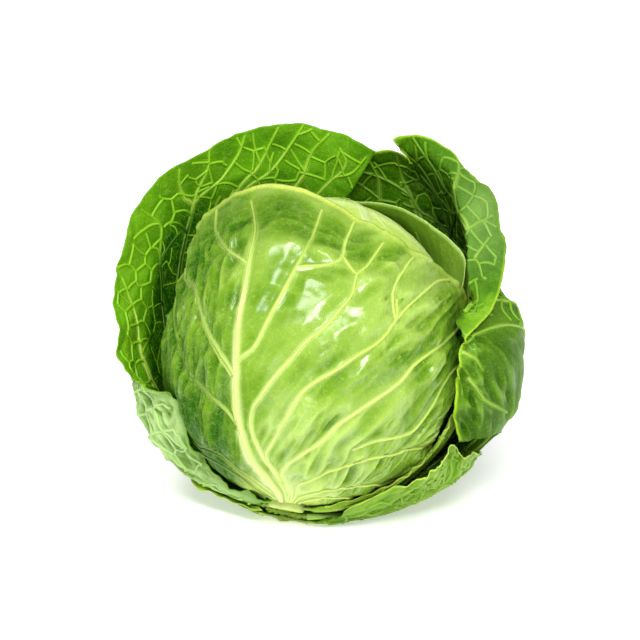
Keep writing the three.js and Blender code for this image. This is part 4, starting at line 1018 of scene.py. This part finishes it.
            # no net veins where the painted shade is deep
            if blobs(leaf.get("spots", []), *path[2], face) > -0.5:
                drawOn(path, face, size * (0.85 - 0.15 * face), size * 0.5)
    veins = drawVeins(leaf["name"] + "_veins", tree, lines,
                      veinMaterial(leaf["name"] + "_vein", leaf["looks"]), sides=4)
    for made in (piece, veins):
        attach(made, "root")
        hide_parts(leaf["name"])
        print(made.name, "triangles", sum(len(f.vertices) - 2 for f in made.data.polygons))
    return piece


# ---- heart and stem

heart = {"radius": 79.0, "around": 180, "along": 90, "step": 0.9, "width": 0.02,
         "margins": [((0.75, 0.35, 0.55), 0.42), ((-0.55, 0.6, 0.35), 0.5), ((0.2, 0.7, -0.68), 0.55)],
         "looks": {"outer": (190, 222, 100), "inner": (190, 222, 100), "dark": (150, 190, 70), "vein": (224, 240, 176),
                   "rim": (224, 240, 176)}}


def makeHeart():
    far = np.linspace(0, np.pi, heart["along"] + 1)[1:-1, None]
    angle = np.linspace(0, 2 * np.pi, heart["around"], endpoint=False)[None]
    ring = (np.cos(far)[..., None] * stemAxis + (np.sin(far) * np.cos(angle))[..., None] * stemFront
            + (np.sin(far) * np.sin(angle))[..., None] * stemSide).reshape(-1, 3)
    directions = np.concatenate([stemAxis[None], ring, -stemAxis[None]])
    radius = layerRadius(heart["radius"], directions)
    edge = np.zeros(len(directions))
    for normal, offset in heart["margins"]:
        side = directions @ unit(normal) - offset
        radius = radius + heart["step"] * smooth(side, -heart["width"], heart["width"]) * (1 - smooth(side, 0.1, 0.5))
        edge = np.maximum(edge, np.exp(-((side - 0.02) / 0.03) ** 2))
    rise = np.arctan2(directions @ stemSide, directions @ stemFront)
    fan = np.abs(np.sin(rise * 9 + 0.6 * np.sin(3 * directions[:, 1] * 3)))
    vein = np.exp(-(fan / 0.12) ** 2) * 0.8
    radius = radius + 0.5 * vein
    points = standing(directions * radius[:, None])
    around, along = heart["around"], heart["along"]
    at = 1 + np.arange((along - 1) * around).reshape(along - 1, around)
    after = np.roll(at, -1, axis=1)
    quads = np.stack([at[:-1], after[:-1], after[1:], at[1:]], -1).reshape(-1, 4)
    last = len(points) - 1
    caps = [[0, int(b), int(a)] for a, b in zip(at[0], after[0])] + [[last, int(a), int(b)] for a, b in zip(at[-1], after[-1])]
    faces = [list(map(int, f)) for f in quads] + caps
    piece = meshOf("heart_leaves", points, faces, {"vein": vein, "toneAndPaintedShade": edge * 0.5, "rim": np.zeros(len(points)),
                                                  "pale": np.zeros(len(points)), "web": np.zeros(len(points)),
                                                  "inner": np.zeros(len(points))})
    piece.data.materials.append(leafMaterial("heart_wax", heart["looks"], glow=0.2))
    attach(piece, "root")
    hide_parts("heart")
    print("heart triangles", sum(len(f.vertices) - 2 for f in piece.data.polygons))


stem = {"radius": 10.5, "from": 81.6, "to": 90.5, "around": 96,
        "profile": [(0.0, 81.6), (0.98, 81.6), (1.0, 83.5), (0.97, 86.5), (1.0, 89.0), (0.93, 90.2), (0.8, 90.5), (0.72, 90.2),
                    (0.6, 90.3), (0.45, 90.1), (0.25, 90.2), (0.1, 90.1), (0.0, 90.15)]}


def stemMaterial():
    material = bpy.data.materials.new("stem_cut")
    nodes = Nodes(material)
    place = nodes.add("ShaderNodeTexCoord", {}, {}, 3)
    grain = nodes.add("ShaderNodeTexNoise", {}, {"Vector": place, "Scale": 260.0, "Detail": 4.0})
    stain = nodes.add("ShaderNodeTexNoise", {}, {"Vector": place, "Scale": 70.0, "Detail": 2.0})
    tint = nodes.mix(nodes.remap(stain, 0.4, 0.7) * 0.7, leafColour((204, 222, 122)), leafColour((176, 196, 88)))
    nodes.put(nodes.shader.inputs["Base Color"], nodes.mix(nodes.remap(grain, 0.5, 0.8) * 0.4, tint, leafColour((170, 160, 86))))
    nodes.put(nodes.shader.inputs["Roughness"], nodes.remap(grain, 0.3, 0.7, (0.55, 0.8)))
    nodes.put(nodes.shader.inputs["Normal"],
              nodes.add("ShaderNodeBump", {}, {"Strength": 0.5, "Distance": 0.0005, "Height": grain}))
    return material


def makeStem():
    around = stem["around"]
    angle = np.linspace(0, 2 * np.pi, around, endpoint=False)
    rows, points = [], []
    for share, height in stem["profile"]:
        if share == 0:
            rows.append([len(points)])
            points.append(stemAxis * height)
            continue
        rows.append(list(range(len(points), len(points) + around)))
        radius = share * stem["radius"] * (1 + 0.02 * np.sin(5 * angle) * (share > 0.9))
        points += list(stemAxis * height + radius[:, None] * (np.cos(angle)[:, None] * stemFront + np.sin(angle)[:, None] * stemSide))
    faces = []
    for a, b in zip(rows, rows[1:]):
        for k in range(around):
            n = (k + 1) % around
            if len(a) == 1:
                faces.append([a[0], b[k], b[n]])
            elif len(b) == 1:
                faces.append([a[k], b[0], a[n]])
            else:
                faces.append([a[k], b[k], b[n], a[n]])
    piece = meshOf("stem_cut", standing(np.array(points)), faces)
    piece.data.materials.append(stemMaterial())
    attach(piece, "root")
    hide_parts("stem")


tree = veinTree()
for leaf in leaves:
    makeLeaf(leaf, tree)
makeHeart()
makeStem()
print("leaves, heart and stem made")


# ---- floor, light and camera

def makeStage():
    mesh = bpy.data.meshes.new("floor")
    half = stage["floor"] / 2
    mesh.from_pydata([(-half, -half, 0), (half, -half, 0), (half, half, 0), (-half, half, 0)], [], [(0, 1, 2, 3)])
    floor = bpy.data.objects.new("floor", mesh)
    bpy.context.scene.collection.objects.link(floor)
    material = bpy.data.materials.new("floor_paper")
    nodes = Nodes(material)
    place = nodes.add("ShaderNodeTexCoord", {}, {}, 3)
    cloud = nodes.add("ShaderNodeTexNoise", {}, {"Vector": place, "Scale": 2.0})
    nodes.put(nodes.shader.inputs["Base Color"], nodes.mix(cloud * 0.1, colour(stage["tint"]), colour((244, 244, 244))))
    nodes.shader.inputs["Roughness"].default_value = 0.9
    nodes.shader.inputs["Specular IOR Level"].default_value = 0.0
    nodes.shader.inputs["Emission Color"].default_value = (1, 1, 1, 1)
    nodes.shader.inputs["Emission Strength"].default_value = stage["glow"]
    mesh.materials.append(material)

    world = bpy.data.worlds.new("studio")
    bpy.context.scene.world = world
    world.use_nodes = True
    world.node_tree.nodes["Background"].inputs[0].default_value = (1, 1, 1, 1)
    world.node_tree.nodes["Background"].inputs[1].default_value = stage["world"]

    sun = bpy.data.lights.new("window", "SUN")
    sun.energy, sun.angle = stage["sun"]["power"], math.radians(stage["sun"]["angle"])
    lamp = bpy.data.objects.new("window", sun)
    lamp.rotation_euler = (-Vector(stage["sun"]["from"])).to_track_quat("-Z", "Y").to_euler()
    bpy.context.scene.collection.objects.link(lamp)
    middle = Vector((0, -0.01, 0.09))
    for name, spot, size, power in stage["boxes"]:
        light = bpy.data.lights.new(name, "AREA")
        light.shape, light.energy = "RECTANGLE", power
        light.size, light.size_y = size
        lamp = bpy.data.objects.new(name, light)
        lamp.location = spot
        lamp.rotation_euler = (middle - lamp.location).to_track_quat("-Z", "Y").to_euler()
        bpy.context.scene.collection.objects.link(lamp)


def makeCamera():
    tilt = math.radians(head["tilt"])
    towards = Vector((0, -math.cos(tilt), math.sin(tilt)))
    turn = (-towards).to_track_quat("-Z", "Y")
    step = head["step"] / 1000
    middle = Vector((head["middle"][0] / 1000, head["middle"][1] / 1000, head["height"] / 1000))
    offset = Vector(((head["centre"][0] - head["spot"][0]) * step, (head["spot"][1] - head["centre"][1]) * step, 0))
    aim = middle + turn @ offset
    camera = bpy.data.objects.new("camera", bpy.data.cameras.new("camera"))
    camera.data.sensor_width = 36
    camera.data.lens = 36 * head["distance"] / 1000 / (640 * step)
    camera.location = aim + towards * head["distance"] / 1000
    camera.rotation_euler = turn.to_euler()
    bpy.context.scene.collection.objects.link(camera)
    bpy.context.scene.camera = camera


makeStage()
makeCamera()
bpy.context.scene.view_settings.view_transform = "Standard"
print("floor, light and camera made")
